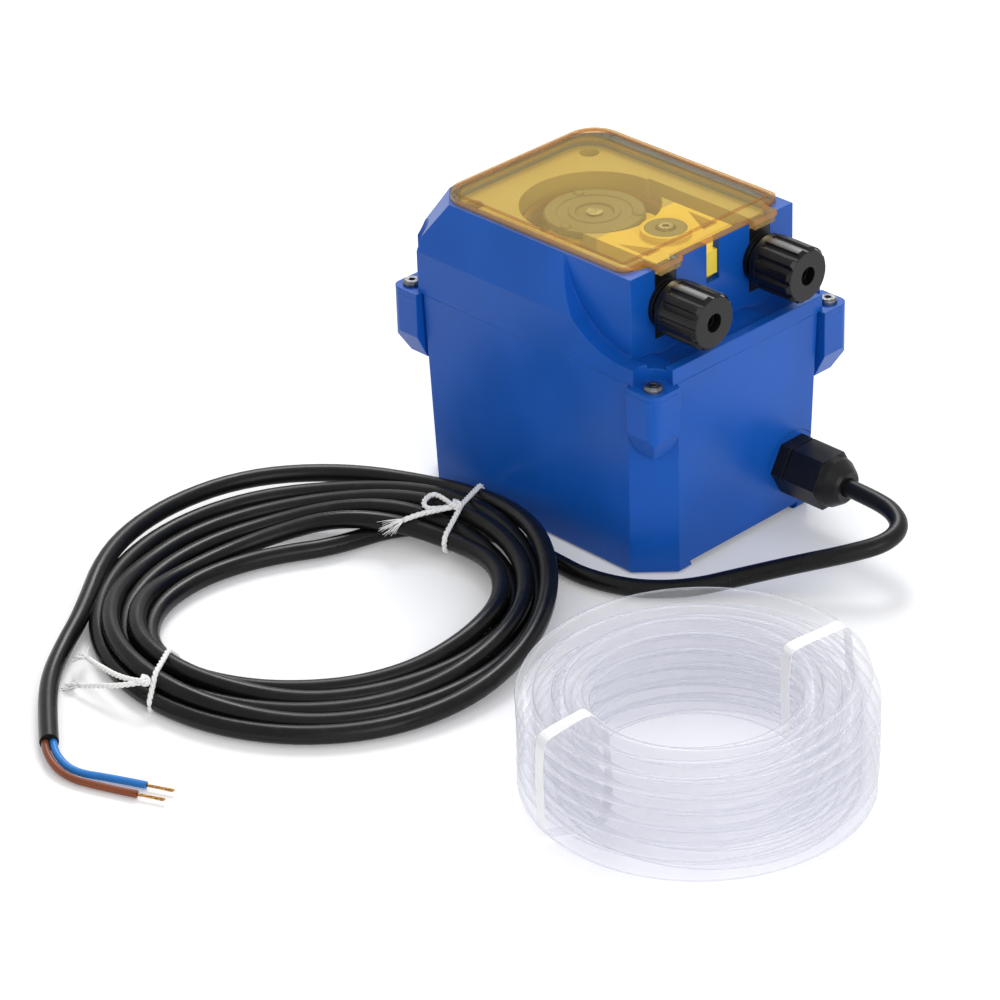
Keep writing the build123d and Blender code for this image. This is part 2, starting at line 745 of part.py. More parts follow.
def output_gear():
    body = gear(wheel_teeth, stage3_z, rotor_y)
    return body - shaft_hole(stage3_z - 1, stage3_z + tooth_w + 1)


def output_shaft():
    """Round in the bearings, with a flat along its upper part."""
    body = post(shaft_r, stage3_z, shaft_top, 0, rotor_y)
    body -= block(shaft_r - shaft_flat, 10, rotor_y - 10, rotor_y + 10, stage3_z, shaft_top + past)
    bearing = post(shaft_r, case_floor_z - case_wall + 0.6, stage3_z, 0, rotor_y)
    return body + bearing


def case_outline(radius):
    both = Pos(0, rotor_y) * Circle(radius) + Pos(0, motor_y) * Circle(radius)
    return both + Pos(0, (rotor_y + motor_y) / 2) * Rectangle(2 * radius, gear_gap)


def case_ears(face):
    for sign in (-1, 1):
        for y in (rotor_y, motor_y):
            face += Pos(sign * case_ear_x, y) * Circle(case_ear_r)
    return face


def bored_ears(body):
    for sign in (-1, 1):
        for y in (rotor_y, motor_y):
            body -= post(screw_shank_r + screw_fit, motor_top, lid_z + lid_t + past, sign * case_ear_x, y)
    return body


def gear_case():
    body = Pos(0, 0, motor_top) * extrude(case_outline(case_r), lid_z - motor_top)
    body += Pos(0, 0, lid_z - case_flange_t) * extrude(case_ears(case_outline(case_r)), case_flange_t)
    body -= Pos(0, 0, case_floor_z) * extrude(case_outline(case_r - case_wall), lid_z)
    body -= post(shaft_r + running, motor_top + 0.5, case_floor_z + past, 0, rotor_y)
    body -= post(motor_shaft_r + 3, motor_top - past, case_floor_z + past, 0, motor_y)
    return bored_ears(body)


def gear_lid():
    body = Pos(0, 0, lid_z) * extrude(case_ears(case_outline(case_r)), lid_t)
    body -= post(shaft_r + 0.4, lid_z - past, lid_z + lid_t + past, 0, rotor_y)
    body -= post(stub_r, lid_z - past, lid_z + lid_t + past, 0, motor_y)
    return bored_ears(body)


def stub_axle():
    return post(stub_r, stage2_z - 0.3, lid_z + lid_t, 0, motor_y)


def case_screws():
    screws = []
    seat = lid_z - case_flange_t
    for sign in (-1, 1):
        for y in (rotor_y, motor_y):
            screw = pan_screw(0, 0, 0, case_flange_t + lid_t + pocket_floor_t - 0.6)
            screws.append(Pos(sign * case_ear_x, y, seat) * Rot(180, 0, 0) * screw)
    return group(screws)


def shaft_bush():
    z0 = pocket_floor_z - pocket_floor_t
    body = post(rotor_hub_r, z0, pocket_floor_z, 0, rotor_y)
    return body - post(shaft_r + running, z0 - 1, pocket_floor_z + past, 0, rotor_y)


def motor_can():
    body = post(motor_r, motor_top - motor_h, motor_top, 0, motor_y)
    body = fillet(body.edges().group_by(Axis.Z)[-1], motor_edge_round)
    body += post(motor_boss_r, motor_top - past, motor_top + motor_boss_h, 0, motor_y)
    body -= post(motor_r - can_wall, motor_top - motor_h - 1, motor_top - can_wall - 1, 0, motor_y)
    return body - post(motor_shaft_r + running, motor_top - 5, motor_top + 2, 0, motor_y)


def motor_cap():
    """Rear cap of the motor with its two terminals."""
    z0 = motor_top - motor_h
    body = post(motor_r - can_wall, z0, z0 + motor_cap_t, 0, motor_y) + post(motor_boss_r, z0 - motor_cap_boss_h, z0, 0, motor_y)
    for sign in (-1, 1):
        body += block(sign * motor_tag_x - motor_tag_half_w, sign * motor_tag_x + motor_tag_half_w,
                      motor_y - motor_tag_half_t, motor_y + motor_tag_half_t, z0 - motor_tag_h, z0)
    return body - post(motor_shaft_r + running, z0 - 0.6, z0 + 4, 0, motor_y)


def motor_magnets():
    outer = motor_r - can_wall
    z0 = motor_top - motor_h + 4
    z1 = motor_top - can_wall - 3
    ring = post(outer, z0, z1, 0, motor_y) - post(outer - magnet_t, z0 - 1, z1 + past, 0, motor_y)
    ring -= block(-4, 4, motor_y - outer - past, motor_y + outer + past, z0 - 1, z1 + past)
    return group(ring.solids())


def motor_armature():
    """Three-pole armature with slots for its windings."""
    z0 = motor_top - motor_h + 7
    z1 = motor_top - can_wall - 5
    body = post(armature_r, z0, z1, 0, motor_y)
    for index in range(3):
        turn = Pos(0, motor_y, 0) * Rot(0, 0, 120 * index)
        body -= turn * block(5, armature_r + past, -1.2, 1.2, z0 - 1, z1 + past)
    return body - post(motor_shaft_r, z0 - 1, z1 + past, 0, motor_y)


def motor_shaft():
    return post(motor_shaft_r, motor_top - motor_h - 0.4, stage1_z + tooth_w, 0, motor_y)


def motor_pinion():
    body = gear(pinion_teeth, stage1_z, motor_y, 180 / pinion_teeth)
    return body - post(motor_shaft_r, stage1_z - past, stage1_z + tooth_w + past, 0, motor_y)


# Hose connectors

def hose_connector(x):
    back_y = front_wall_y + front_wall
    half = recess_half - recess_clear
    top = housing_top - cover_skirt_h - 0.3
    body = block(x - half, x + half, front_wall_y, back_y, recess_bottom_z + recess_clear, top)
    inner = inner_flange_half
    body += block(x - inner, x + inner, back_y, back_y + inner_flange_t, pocket_floor_z + 0.2, top)
    body += rod(connector_flange_r, front_wall_y, flange_y, x, hose_axis_z)
    body += rod(spigot_r, flange_y, spigot_end_y, x, hose_axis_z)
    body += rod(tube_bore_r, spigot_end_y, spigot_end_y - nozzle_l, x, hose_axis_z)
    body += rod(tube_bore_r - 0.02, back_y + inner_flange_t + inner_barb_l, back_y, x, hose_axis_z)
    return body - rod(connector_bore_r, back_y + 20, spigot_end_y - 20, x, hose_axis_z)


def hose_nut(x):
    """Ribbed compression nut with a smooth collar at its back."""
    body = rod(nut_r, nut_back_y - nut_collar_l, nut_end_y, 0, 0)
    body = chamfer(body.edges().sort_by(Axis.Y)[0], nut_edge)
    for index in range(nut_flutes):
        groove = rod(nut_flute_w / 2, nut_back_y, nut_end_y - past, 0, nut_root_r + nut_flute_w / 2)
        body -= Rot(0, 360 / nut_flutes * index, 0) * groove
    body += rod(nut_collar_r, nut_back_y, nut_back_y - nut_collar_l, 0, 0)
    body -= rod(spigot_r + thread_clear, nut_back_y + past, nut_end_y + nut_front_wall, 0, 0)
    body -= rod(hose_r + nut_hose_clear, nut_back_y, nut_end_y - past, 0, 0)
    return Pos(x, 0, hose_axis_z) * body


def grip_ring(x):
    """Slit tapered ring that the nut presses on the hose."""
    body = cone_rod(grip_r, grip_r - grip_taper, grip_back_y, grip_front_y, x, hose_axis_z)
    body -= rod(hose_r + 0.15, grip_back_y + past, grip_front_y - past, x, hose_axis_z)
    slit = block(x - grip_slit_half, x + grip_slit_half, grip_front_y - past, grip_back_y + past, hose_axis_z, hose_axis_z + 20)
    return body - slit


# Cable gland

def hexagon_rod(across_flats, y0, y1):
    face = RegularPolygon(across_flats / 2, 6, major_radius=False)
    turned = Pos(gland_x, y0, gland_z) * Rot(90, 0, 0) * face
    return extrude(turned, amount=y0 - y1, dir=(0, -1, 0))


def gland_body():
    flange_y0 = -gland_seat_y
    flange_y1 = flange_y0 - gland_flange_t
    body = hexagon_rod(gland_af, flange_y0, flange_y1)
    body += rod(gland_thread_r, flange_y0 + gland_inner_l, flange_y0, gland_x, gland_z)
    body += rod(gland_thread_r, flange_y1, flange_y1 - gland_outer_l, gland_x, gland_z)
    body -= rod(cable_r + cable_clear, flange_y0 + gland_inner_l + past, flange_y1 - 30, gland_x, gland_z)
    return body - rod(seal_r + 0.1, flange_y1 - gland_outer_l + seal_l - past, flange_y1 - 30, gland_x, gland_z)


def gland_seal():
    y0 = -gland_seat_y - gland_flange_t - gland_outer_l + seal_l - 1.2
    y1 = y0 - seal_l
    body = rod(seal_r, y0, y1, gland_x, gland_z)
    body = fillet(body.edges().sort_by(Axis.Y)[0], 1.0)
    return body - rod(cable_r + running, y0 + past, y1 - 1, gland_x, gland_z)


def gland_cap():
    """Domed hexagon cap; its nose narrows to the cable."""
    y0 = -gland_cap_y
    y1 = y0 - gland_cap_l
    knee = y1 + gland_nose_l
    body = hexagon_rod(gland_af, y0, knee)
    nose = Pos(gland_x, 0, gland_z) * revolve(make_face(Polyline(
        (0, knee), (gland_af / 2, knee), (gland_af / 2 - 0.6, knee - 2.4), (gland_nose_r, y1 + 1.0),
        (gland_nose_r - 1.2, y1), (0, y1), close=True)), Axis.Y)
    body += nose
    body -= rod(gland_thread_r + thread_clear, y0 + past, y0 - gland_outer_l - 2, gland_x, gland_z)
    body -= cone_rod(seal_r + 0.4, cable_r + past, y0 - gland_outer_l - 2, y1 + 3, gland_x, gland_z)
    return body - rod(cable_r + cable_clear, y0, y1 - 1, gland_x, gland_z)


def gland_locknut():
    y1 = -gland_seat_y + base_wall - gland_nut_sink
    body = hexagon_rod(gland_af + 1, y1 + gland_nut_t, y1)
    return body - rod(gland_thread_r, y1 + gland_nut_t + past, y1 - 1, gland_x, gland_z)


# Routes of cables: straight runs joined by arcs

def route_radii(points):
    """One arc radius for each corner, as large as its two runs allow."""
    radii = []
    for before, here, after in zip(points, points[1:], points[2:]):
        a = Vector(*here) - Vector(*before)
        b = Vector(*after) - Vector(*here)
        turn = math.radians(a.get_angle(b))
        radii.append(0.45 * min(a.length, b.length) / math.tan(turn / 2))
    return radii


def swept(points, radius, label):
    """A round cord: a cylinder along each straight run and a piece of a ring round each bend."""
    radii = route_radii(points)
    path = FilletPolyline(*points, radius=radii)
    pieces = []
    for edge in path.edges():
        section = Plane(origin=edge.position_at(0), z_dir=edge.tangent_at(0)) * Circle(radius)
        if edge.geom_type == GeomType.LINE:
            pieces.append(extrude(section, amount=edge.length))
        else:
            arm = edge.position_at(0) - edge.arc_center
            axis = Axis(edge.arc_center, arm.cross(edge.tangent_at(0)))
            pieces.append(revolve(section, axis, math.degrees(edge.length / edge.radius)))
    body = pieces[0] + pieces[1:]
    share = body.volume / (math.pi * radius ** 2 * path.length)
    smallest = ", ".join(f"{r:.0f}" for r in radii)
    print(f"{label}: length {path.length:.1f}, volume share {share:.4f}, radii {smallest}")
    return body


lead_route = [
    (gland_x, -exit_y, gland_z),
    (gland_x, -98.0, gland_z),
    (22.8, -108.6, 20.0),
    (17.0, -117.2, 19.2),
    (7.2, -118.6, 17.8),
    (-3.0, -111.0, 15.2),
    (-15.0, -98.6, 11.4),
    (-28.5, -85.0, 6.8),
    (-43.0, -73.6, 3.6),
    (-55.5, -60.0, 3.4),
    (-61.5, -42.0, 3.4),
    (-60.0, -24.0, 3.4),
]

tail_route = [
    (-197.5, 64.5, 5.6),
    (-212.5, 56.0, 3.6),
    (-228.5, 44.0, 3.4),
    (-241.5, 29.3, 3.4),
    (-253.5, 13.3, 3.3),
]

blue_route = [
    (-252.4, 12.5, 3.3),
    (-256.2, 7.4, 3.1),
    (-257.8, -3.6, 1.5),
    (-251.4, -15.2, 1.4),
    (-246.2, -26.8, 1.4),
]

brown_route = [
    (-254.6, 14.1, 3.3),
    (-259.0, 8.2, 3.1),
    (-261.3, -4.2, 1.5),
    (-256.8, -17.0, 1.4),
    (-251.6, -28.6, 1.4),
]


def strands(route):
    """The bare copper end that continues a core."""
    last = Vector(*route[-1])
    way = (last - Vector(*route[-2])).normalized()
    section = Plane(origin=last, z_dir=way) * Circle(strand_r)
    return extrude(section, strand_l)


def strap(half_l, height, thick, width):
    """A flat closed loop that stands on the floor: outline along X, upright, width along Y."""
    outer = Pos(0, height / 2 + thick) * Rectangle(2 * (half_l + thick), height + 2 * thick)
    inner = Pos(0, height / 2 + thick) * Rectangle(2 * half_l, height)
    ring = fillet(outer.vertices(), 2 * thick) - fillet(inner.vertices(), thick)
    return extrude(Rot(90, 0, 0) * ring, width / 2, both=True)


def cable_ties():
    """Two strings tied round the lead's coil, each with its knot on top."""
    ties = []
    for x, y, turn, half_l in tie_places:
        loop = strap(half_l + tie_slack, coil_h - tie_t + tie_lift, tie_t, tie_t)
        knot = Pos(0, 0, coil_h + tie_lift + tie_t + tie_knot_r / 2) * Sphere(tie_knot_r)
        knot &= block(-5, 5, -5, 5, coil_h + tie_lift, coil_h + 10)
        ties.append(Pos(x, y, 0) * Rot(0, 0, turn) * (loop + knot))
    return ties


def cable_coil():
    outer = Pos(coil_x, coil_y) * Rot(0, 0, coil_turn) * Ellipse(coil_long, coil_short)
    hole = Pos(coil_hole_x, coil_hole_y) * Rot(0, 0, coil_hole_turn) * Ellipse(coil_hole_long, coil_hole_short)
    body = extrude(outer, coil_h)
    body = chamfer(body.edges(), coil_edge)
    body -= Pos(0, 0, -1) * extrude(hole, coil_h + 2)
    for tie in cable_ties():
        body -= tie
    return body


def hose_bands():
    """Two flat bands round the section of the hose coil."""
    middle = (hose_hole_r + hose_coil_r) / 2
    half = (hose_coil_r - hose_hole_r) / 2
    bands = []
    for angle in band_angles:
        band = strap(half + band_slack, hose_coil_h - band_t + band_slack, band_t, band_w)
        bands.append(Pos(hose_mid_x, hose_mid_y) * Rot(0, 0, angle) * Pos(middle, 0, 0) * band)
    return bands


def hose_coil():
    ring = Circle(hose_coil_r) - Circle(hose_hole_r)
    body = Pos(hose_mid_x, hose_mid_y) * extrude(ring, hose_coil_h)
    body = chamfer(body.edges(), hose_coil_edge)
    for band in hose_bands():
        body -= band
    return body


def cable_inside():
    """The lead's last stretch, through the gland into the housing."""
    return rod(cable_r, -gland_seat_y + gland_inner_l + 3, -exit_y, gland_x, gland_z)


terminal_x = 24.0
terminal_y = -33.0
terminal_half_x = 9.0
terminal_half_y = 6.0
terminal_h = 13.0
terminal_pitch = 8.0
terminal_well_r = 2.2
terminal_screw_r = 2.1
terminal_screw_z = base_floor + 8
terminal_screw_h = 3.0
terminal_hole_z = base_floor + 6
core_side = 1.45            # how far each core lies beside the lead's middle
lead_end_y = -gland_seat_y + gland_inner_l + 3


def terminal_block():
    body = block(terminal_x - terminal_half_x, terminal_x + terminal_half_x, terminal_y - terminal_half_y,
                 terminal_y + terminal_half_y, base_floor, base_floor + terminal_h)
    for sign in (-1, 1):
        x = terminal_x + sign * terminal_pitch / 2
        body -= rod(core_r + 0.2, terminal_y + terminal_half_y + past, terminal_y - terminal_half_y - past, x, terminal_hole_z)
        body -= post(terminal_well_r, terminal_hole_z, base_floor + terminal_h + past, x, terminal_y)
    return body


def terminal_screws():
    screws = []
    for sign in (-1, 1):
        x = terminal_x + sign * terminal_pitch / 2
        body = post(terminal_screw_r, terminal_screw_z, terminal_screw_z + terminal_screw_h, x, terminal_y)
        body -= block(x - 3, x + 3, terminal_y - 0.4, terminal_y + 0.4, terminal_screw_z + 2, terminal_screw_z + 4)
        screws.append(body)
    return group(screws)


def inner_cores():
    """Blue and brown cores from the lead's end into the terminal block."""
    cores = []
    for sign in (-1, 1):
        x = terminal_x + sign * terminal_pitch / 2
        points = [
            (gland_x + sign * core_side, lead_end_y, gland_z),
            (gland_x + sign * core_side, lead_end_y + 2.4, gland_z),
            (x, terminal_y - terminal_half_y - 1.6, terminal_hole_z),
            (x, terminal_y - 1, terminal_hole_z),
        ]
        cores.append(swept(points, core_r, "inner core"))
    return group(cores)


def motor_leads():
    """Two leads from the terminal block up to the motor's terminals."""
    leads = []
    z0 = motor_top - motor_h
    for sign in (-1, 1):
        x = terminal_x + sign * terminal_pitch / 2
        points = [
            (x, terminal_y + 1, terminal_hole_z),
            (x, terminal_y + terminal_half_y + 4, terminal_hole_z),
            (sign * motor_tag_x + 2.5, motor_y - 1, z0 - motor_tag_h - 8),
            (sign * motor_tag_x, motor_y, z0 - motor_tag_h - 4),
            (sign * motor_tag_x, motor_y, z0 - motor_tag_h),
        ]
        leads.append(swept(points, motor_lead_r, "motor lead"))
    return group(leads)


def main():
    save("base_housing", base_housing())
    save("wall_bracket", wall_bracket())
    save("front_housing", front_housing())
    screws = [pan_screw(x, y, seam_z, housing_screw_l) for x, y in four_corners(screw_x, screw_y)]
    save("housing_screws", group(screws))
    save("pump_cover", pump_cover())

    save("head_casing", head_casing())
    screws = [pan_screw(s * casing_screw_x, casing_screw_y, casing_screw_seat_z, casing_screw_seat_z - pocket_floor_z + 2.4) for s in (-1, 1)]
    save("casing_screws", group(screws))
    save("boss_cap", boss_cap())
    save("boss_screw", pan_screw(0, boss_y, boss_top_z - boss_cap_sink, boss_screw_l))
    save("rotor_disc", rotor_disc())
    save("rotor_plate", rotor_plate())
    for index, place in enumerate(roller_places()):
        save(f"roller_{index + 1}", roller(place))
    save("roller_pins", roller_pins())
    save("pump_tube", pump_tube())

    save("output_shaft", output_shaft())
    save("output_gear", output_gear())
    save("upper_compound_gear", compound_gear(stage2_z, motor_y, stub_r))
    save("lower_compound_gear", compound_gear(stage1_z, rotor_y, shaft_r))
    save("motor_pinion", motor_pinion())
    save("motor_shaft", motor_shaft())
    save("motor_armature", motor_armature())
    save("motor_magnets", motor_magnets())
    save("motor_can", motor_can())
    save("motor_cap", motor_cap())
    save("gear_case", gear_case())
    save("gear_lid", gear_lid())
    save("gear_stub_axle", stub_axle())
    save("case_screws", case_screws())
    save("shaft_bush", shaft_bush())

    for name, x in (("left", -connector_x), ("right", connector_x)):
        save(f"{name}_hose_connector", hose_connector(x))
        save(f"{name}_hose_nut", hose_nut(x))
        save(f"{name}_grip_ring", grip_ring(x))

    save("gland_body", gland_body())
    save("gland_seal", gland_seal())
    save("gland_cap", gland_cap())
    save("gland_locknut", gland_locknut())
    save("terminal_block", terminal_block())
    save("terminal_screws", terminal_screws())
    save("inner_cores", inner_cores())
    save("motor_leads", motor_leads())

    save("cable_inside", cable_inside())
    coil = cable_coil()
    save("cable_coil", coil)
    save("cable_lead", swept(lead_route, cable_r, "lead") - coil)
    save("cable_tail", swept(tail_route, cable_r, "tail") - coil)
    save("cable_ties", group(cable_ties()))
    save("blue_core", swept(blue_route, core_r, "blue core"))
    save("brown_core", swept(brown_route, core_r, "brown core"))
    save("bare_strands", group([strands(blue_route), strands(brown_route)]))
    save("hose_coil", hose_coil())
    save("hose_bands", group(hose_bands()))


main()
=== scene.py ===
import json
import math

import bmesh
import bpy
from mathutils import Matrix, Vector


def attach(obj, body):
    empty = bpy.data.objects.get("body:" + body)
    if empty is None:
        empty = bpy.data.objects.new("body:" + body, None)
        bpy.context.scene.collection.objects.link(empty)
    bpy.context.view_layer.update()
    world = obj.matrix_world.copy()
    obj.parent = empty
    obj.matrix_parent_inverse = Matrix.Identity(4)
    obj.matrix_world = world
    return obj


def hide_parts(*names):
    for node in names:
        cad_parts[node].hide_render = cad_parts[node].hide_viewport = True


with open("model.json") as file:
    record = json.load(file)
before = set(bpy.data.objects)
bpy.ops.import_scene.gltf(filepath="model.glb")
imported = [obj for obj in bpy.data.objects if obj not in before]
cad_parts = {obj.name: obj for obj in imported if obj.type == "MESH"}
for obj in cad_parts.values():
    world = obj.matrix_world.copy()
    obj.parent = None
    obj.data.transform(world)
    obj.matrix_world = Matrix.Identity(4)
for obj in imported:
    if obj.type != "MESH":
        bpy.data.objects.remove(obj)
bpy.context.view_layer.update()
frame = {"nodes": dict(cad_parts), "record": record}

mm = 0.001
print("frame loaded,", len(frame["nodes"]), "nodes")


# camera

cameraFacts = {
    "target": (-0.78, 63.23, -32.36),   # mm, the point in the middle of the picture
    "distance": 1498.66,
    "azimuth": -43.49,
    "elevation": 29.83,
    "roll": -1.96,
    "lens": 144.0,
    "sensor": 36.0,
}


def makeCamera(facts):
    turn, rise, lean = (math.radians(facts[key]) for key in ("azimuth", "elevation", "roll"))
    back = Vector((math.sin(turn) * math.cos(rise), -math.cos(turn) * math.cos(rise), math.sin(rise)))
    side = (-back).cross(Vector((0, 0, 1))).normalized()
    top = side.cross(-back)
    right = side * math.cos(lean) + top * math.sin(lean)
    up = top * math.cos(lean) - side * math.sin(lean)
    data = bpy.data.cameras.new("photoCamera")
    data.lens = facts["lens"]
    data.sensor_width = facts["sensor"]
    data.clip_end = 20.0
    camera = bpy.data.objects.new("photoCamera", data)
    place = Vector(facts["target"]) * mm + back * facts["distance"] * mm
    axes = Matrix((right, up, back)).transposed().to_4x4()
    camera.matrix_world = Matrix.Translation(place) @ axes
    bpy.context.collection.objects.link(camera)
    bpy.context.scene.camera = camera


makeCamera(cameraFacts)
bpy.context.scene.view_settings.view_transform = "Standard"
bpy.context.scene.cycles.transparent_max_bounces = 32    # the hose is many clear walls deep
print("camera placed")


# curves and pieces

def inMetres(points):
    return [Vector(p) * mm for p in points]


def addObject(name, data):
    piece = bpy.data.objects.new(name, data)
    bpy.context.collection.objects.link(piece)
    return piece


def smoothCurve(name, points, radius, detail=10, sides=5):
    curve = bpy.data.curves.new(name, "CURVE")
    curve.dimensions = "3D"
    spline = curve.splines.new("NURBS")
    spline.points.add(len(points) - 1)
    for k, point in enumerate(inMetres(points)):
        spline.points[k].co = (*point, 1.0)
    spline.order_u = 3                    # after the points, or the runs stay straight
    spline.use_endpoint_u = True
    curve.resolution_u = detail
    curve.bevel_depth = radius * mm
    curve.bevel_resolution = sides
    curve.use_fill_caps = True
    return addObject(name, curve)


def curvePoints(points, detail):
    probe = smoothCurve("probe", points, 0.0, detail)
    mesh = bpy.data.meshes.new_from_object(probe)
    found = [v.co.copy() for v in mesh.vertices]
    curve = probe.data
    bpy.data.objects.remove(probe)
    bpy.data.curves.remove(curve)
    bpy.data.meshes.remove(mesh)
    return found


def lengthOf(points, detail=4):
    found = curvePoints(points, detail)
    return sum((b - a).length for a, b in zip(found, found[1:]))


def ovalReach(angle, seat, oval):             # from the seat out to the oval
    (cx, cy), long, short, lean = oval
    turn = math.radians(lean)
    ray = Vector((math.cos(angle), math.sin(angle)))
    away = Vector((seat[0] - cx, seat[1] - cy))
    spin = Matrix(((math.cos(turn), math.sin(turn)), (-math.sin(turn), math.cos(turn))))
    ray, away = spin @ ray, spin @ away
    ray = Vector((ray.x / long, ray.y / short))
    away = Vector((away.x / long, away.y / short))
    a, b, c = ray.dot(ray), 2 * ray.dot(away), away.dot(away) - 1
    return (-b + math.sqrt(b * b - 4 * a * c)) / (2 * a)


# meshes

def finishMesh(bm, name):
    mesh = bpy.data.meshes.new(name)
    bm.to_mesh(mesh)
    bm.free()
    return addObject(name, mesh)


def joinRings(bm, rings, smooth=False):
    for first, second in zip(rings, rings[1:]):
        count = len(first)
        for k in range(count):
            face = bm.faces.new((first[k], first[(k + 1) % count], second[(k + 1) % count], second[k]))
            face.smooth = smooth


def capEnds(bm, rings):
    bm.faces.new(list(reversed(rings[0])))
    bm.faces.new(rings[-1])


def aheadAt(path, k):
    return path[min(k + 1, len(path) - 1)] - path[max(k - 1, 0)]


def carryAxes(path):                      # two axes across the path, kept from twisting
    up = Vector((0.13, 0.07, 1.0))
    for k, point in enumerate(path):
        ahead = aheadAt(path, k).normalized()
        side = ahead.cross(up).normalized()
        up = side.cross(ahead).normalized()
        yield k, point, side, up


def addTube(bm, path, radius, sides):
    rings = []
    for k, point, side, up in carryAxes(path):
        size = radius(k / (len(path) - 1))
        rings.append([bm.verts.new((point + (side * math.cos(a) + up * math.sin(a)) * size) * mm)
                      for a in (2 * math.pi * s / sides for s in range(sides))])
    joinRings(bm, rings, smooth=True)
    capEnds(bm, rings)


# the lead: out of the gland, round the pump to its coil, and off to the bare ends

leadFacts = {
    "diameter": 6.5,
    "length": 2560.0,
    "exit": (24, -87.5, 20.5),
    "run": [(24, -87.5, 20.5), (24, -98, 20.5), (22.8, -108.6, 20), (17, -117.2, 19.2), (7.2, -118.6, 17.8),
            (-3, -111, 15.2), (-15, -98.6, 11.4), (-28.5, -85, 6.8), (-43, -73.6, 3.6), (-55.5, -60, 3.4),
            (-61.5, -42, 3.4)],
    "tail": [(-197.5, 64.5, 5.6), (-212.5, 56, 3.6), (-228.5, 44, 3.4), (-241.5, 29.3, 3.4),
             (-253.5, 13.3, 3.3)],
    "seat": (-138, 9),                    # the middle that the turns go round
    "outer": ((-134.6, 13.4), 88.2, 80.8, 52.1),
    "inner": ((-139, 6.5), 60.5, 43.5, 150),
    "startAngle": -25.0,
    "turns": 5.43,
    "perTurn": 16,
    "swapAngle": 226.5,                   # where a turn changes from the lower to the upper layer
    "layerGap": 6.6,
    "crossHeight": 6.9,
    "crossReach": 55.0,                   # degrees each side of a crossing
    "floorHeight": 3.3,
    "entryTurns": 0.19,                   # turns that the strand takes to reach the inside
    "entryShares": (-0.15, 1.15),         # how far in it starts, and how far it still goes
    "innerShare": 1.04,                   # 1 is on the inner oval, 0 on the outer
    "shareStep": 0.2,                     # each turn lies this much further out
    "leastShare": 0.01,
    "firstCrossing": 1.19,
    "crossSpacing": 6.25,
    "crossings": 5,
    "endTurns": (5.1, 0.15),              # where the last turn climbs, and over how much of a turn
    "endHeight": 4.0,
}


def leadCoilPoint(facts, t):
    degrees = facts["startAngle"] + 360 * t
    angle = math.radians(degrees)
    low = ovalReach(angle, facts["seat"], facts["inner"])
    high = ovalReach(angle, facts["seat"], facts["outer"])
    start, way = facts["entryShares"]
    entry = facts["entryTurns"]
    inward = (start + way * t / entry if t < entry
              else max(facts["innerShare"] - facts["shareStep"] * t, facts["leastShare"]))
    step = facts["shareStep"] * (high - low)
    layer = math.floor((degrees - facts["swapAngle"]) / 360 + 1)
    z = facts["floorHeight"]
    if t > entry and layer % 2 == 1:
        z += math.sqrt(max(0.0, facts["layerGap"] ** 2 - step ** 2))
    hump = 0.0
    for k in range(1, facts["crossings"] + 1):    # each turn passes over the strand that comes in
        away = abs(t - k - (facts["firstCrossing"] - facts["shareStep"] * k) / facts["crossSpacing"]) * 360
        if away < facts["crossReach"]:
            hump = max(hump, facts["crossHeight"] * math.cos(math.pi * away / (2 * facts["crossReach"])) ** 2)
    climbStart, climbSpan = facts["endTurns"]
    if t > climbStart:
        hump = max(hump, facts["endHeight"] * min(1.0, (t - climbStart) / climbSpan))
    reach = high - inward * (high - low)
    return (facts["seat"][0] + reach * math.cos(angle), facts["seat"][1] + reach * math.sin(angle), z + hump)


def leadRoute(facts):
    steps = int(facts["turns"] * facts["perTurn"])
    coil = [leadCoilPoint(facts, k / facts["perTurn"]) for k in range(steps + 1)]
    return facts["run"] + coil + facts["tail"]


leadPoints = leadRoute(leadFacts)
lead = smoothCurve("mains_lead", leadPoints, leadFacts["diameter"] / 2, detail=6, sides=6)
print("lead laid,", len(leadPoints), "points")

coreFacts = {
    "blue": {"exit": (-252.4, 12.5, 3.3), "length": 43.1,
             "route": [(-252.4, 12.5, 3.3), (-256.2, 7.4, 3.1), (-257.8, -3.6, 1.5), (-251.4, -15.2, 1.4),
                       (-246.2, -26.8, 1.4)]},
    "brown": {"exit": (-254.6, 14.1, 3.3), "length": 46.0,
              "route": [(-254.6, 14.1, 3.3), (-259, 8.2, 3.1), (-261.3, -4.2, 1.5), (-256.8, -17, 1.4),
                        (-251.6, -28.6, 1.4)]},
    "diameter": 2.6,
}
cores = {key: smoothCurve(f"{key}_core_wire", coreFacts[key]["route"], coreFacts["diameter"] / 2, 12, 4)
         for key in ("blue", "brown")}


# the hose: four columns of turns, wound up and down

hoseFacts = {
    "diameter": 6.0,
    "centre": (-125.5, -155),
    "firstReach": 37.0,
    "columnStep": 6.05,
    "columns": 4,
    "rise": 6.05,                         # per turn
    "floorHeight": 3.05,
    "climb": 6.0,                         # turns in a column
    "shift": 0.22,                        # turns that a change of column takes
    "perTurn": 16,
    "startAngle": 110.0,
    "squash": 0.012,                      # how far from round the coil is
    "changeLift": 0.5,                    # over the neighbour, where the column changes at the top
    "unevenReach": (0.18, 0.12),
    "unevenHeight": 0.12,
}


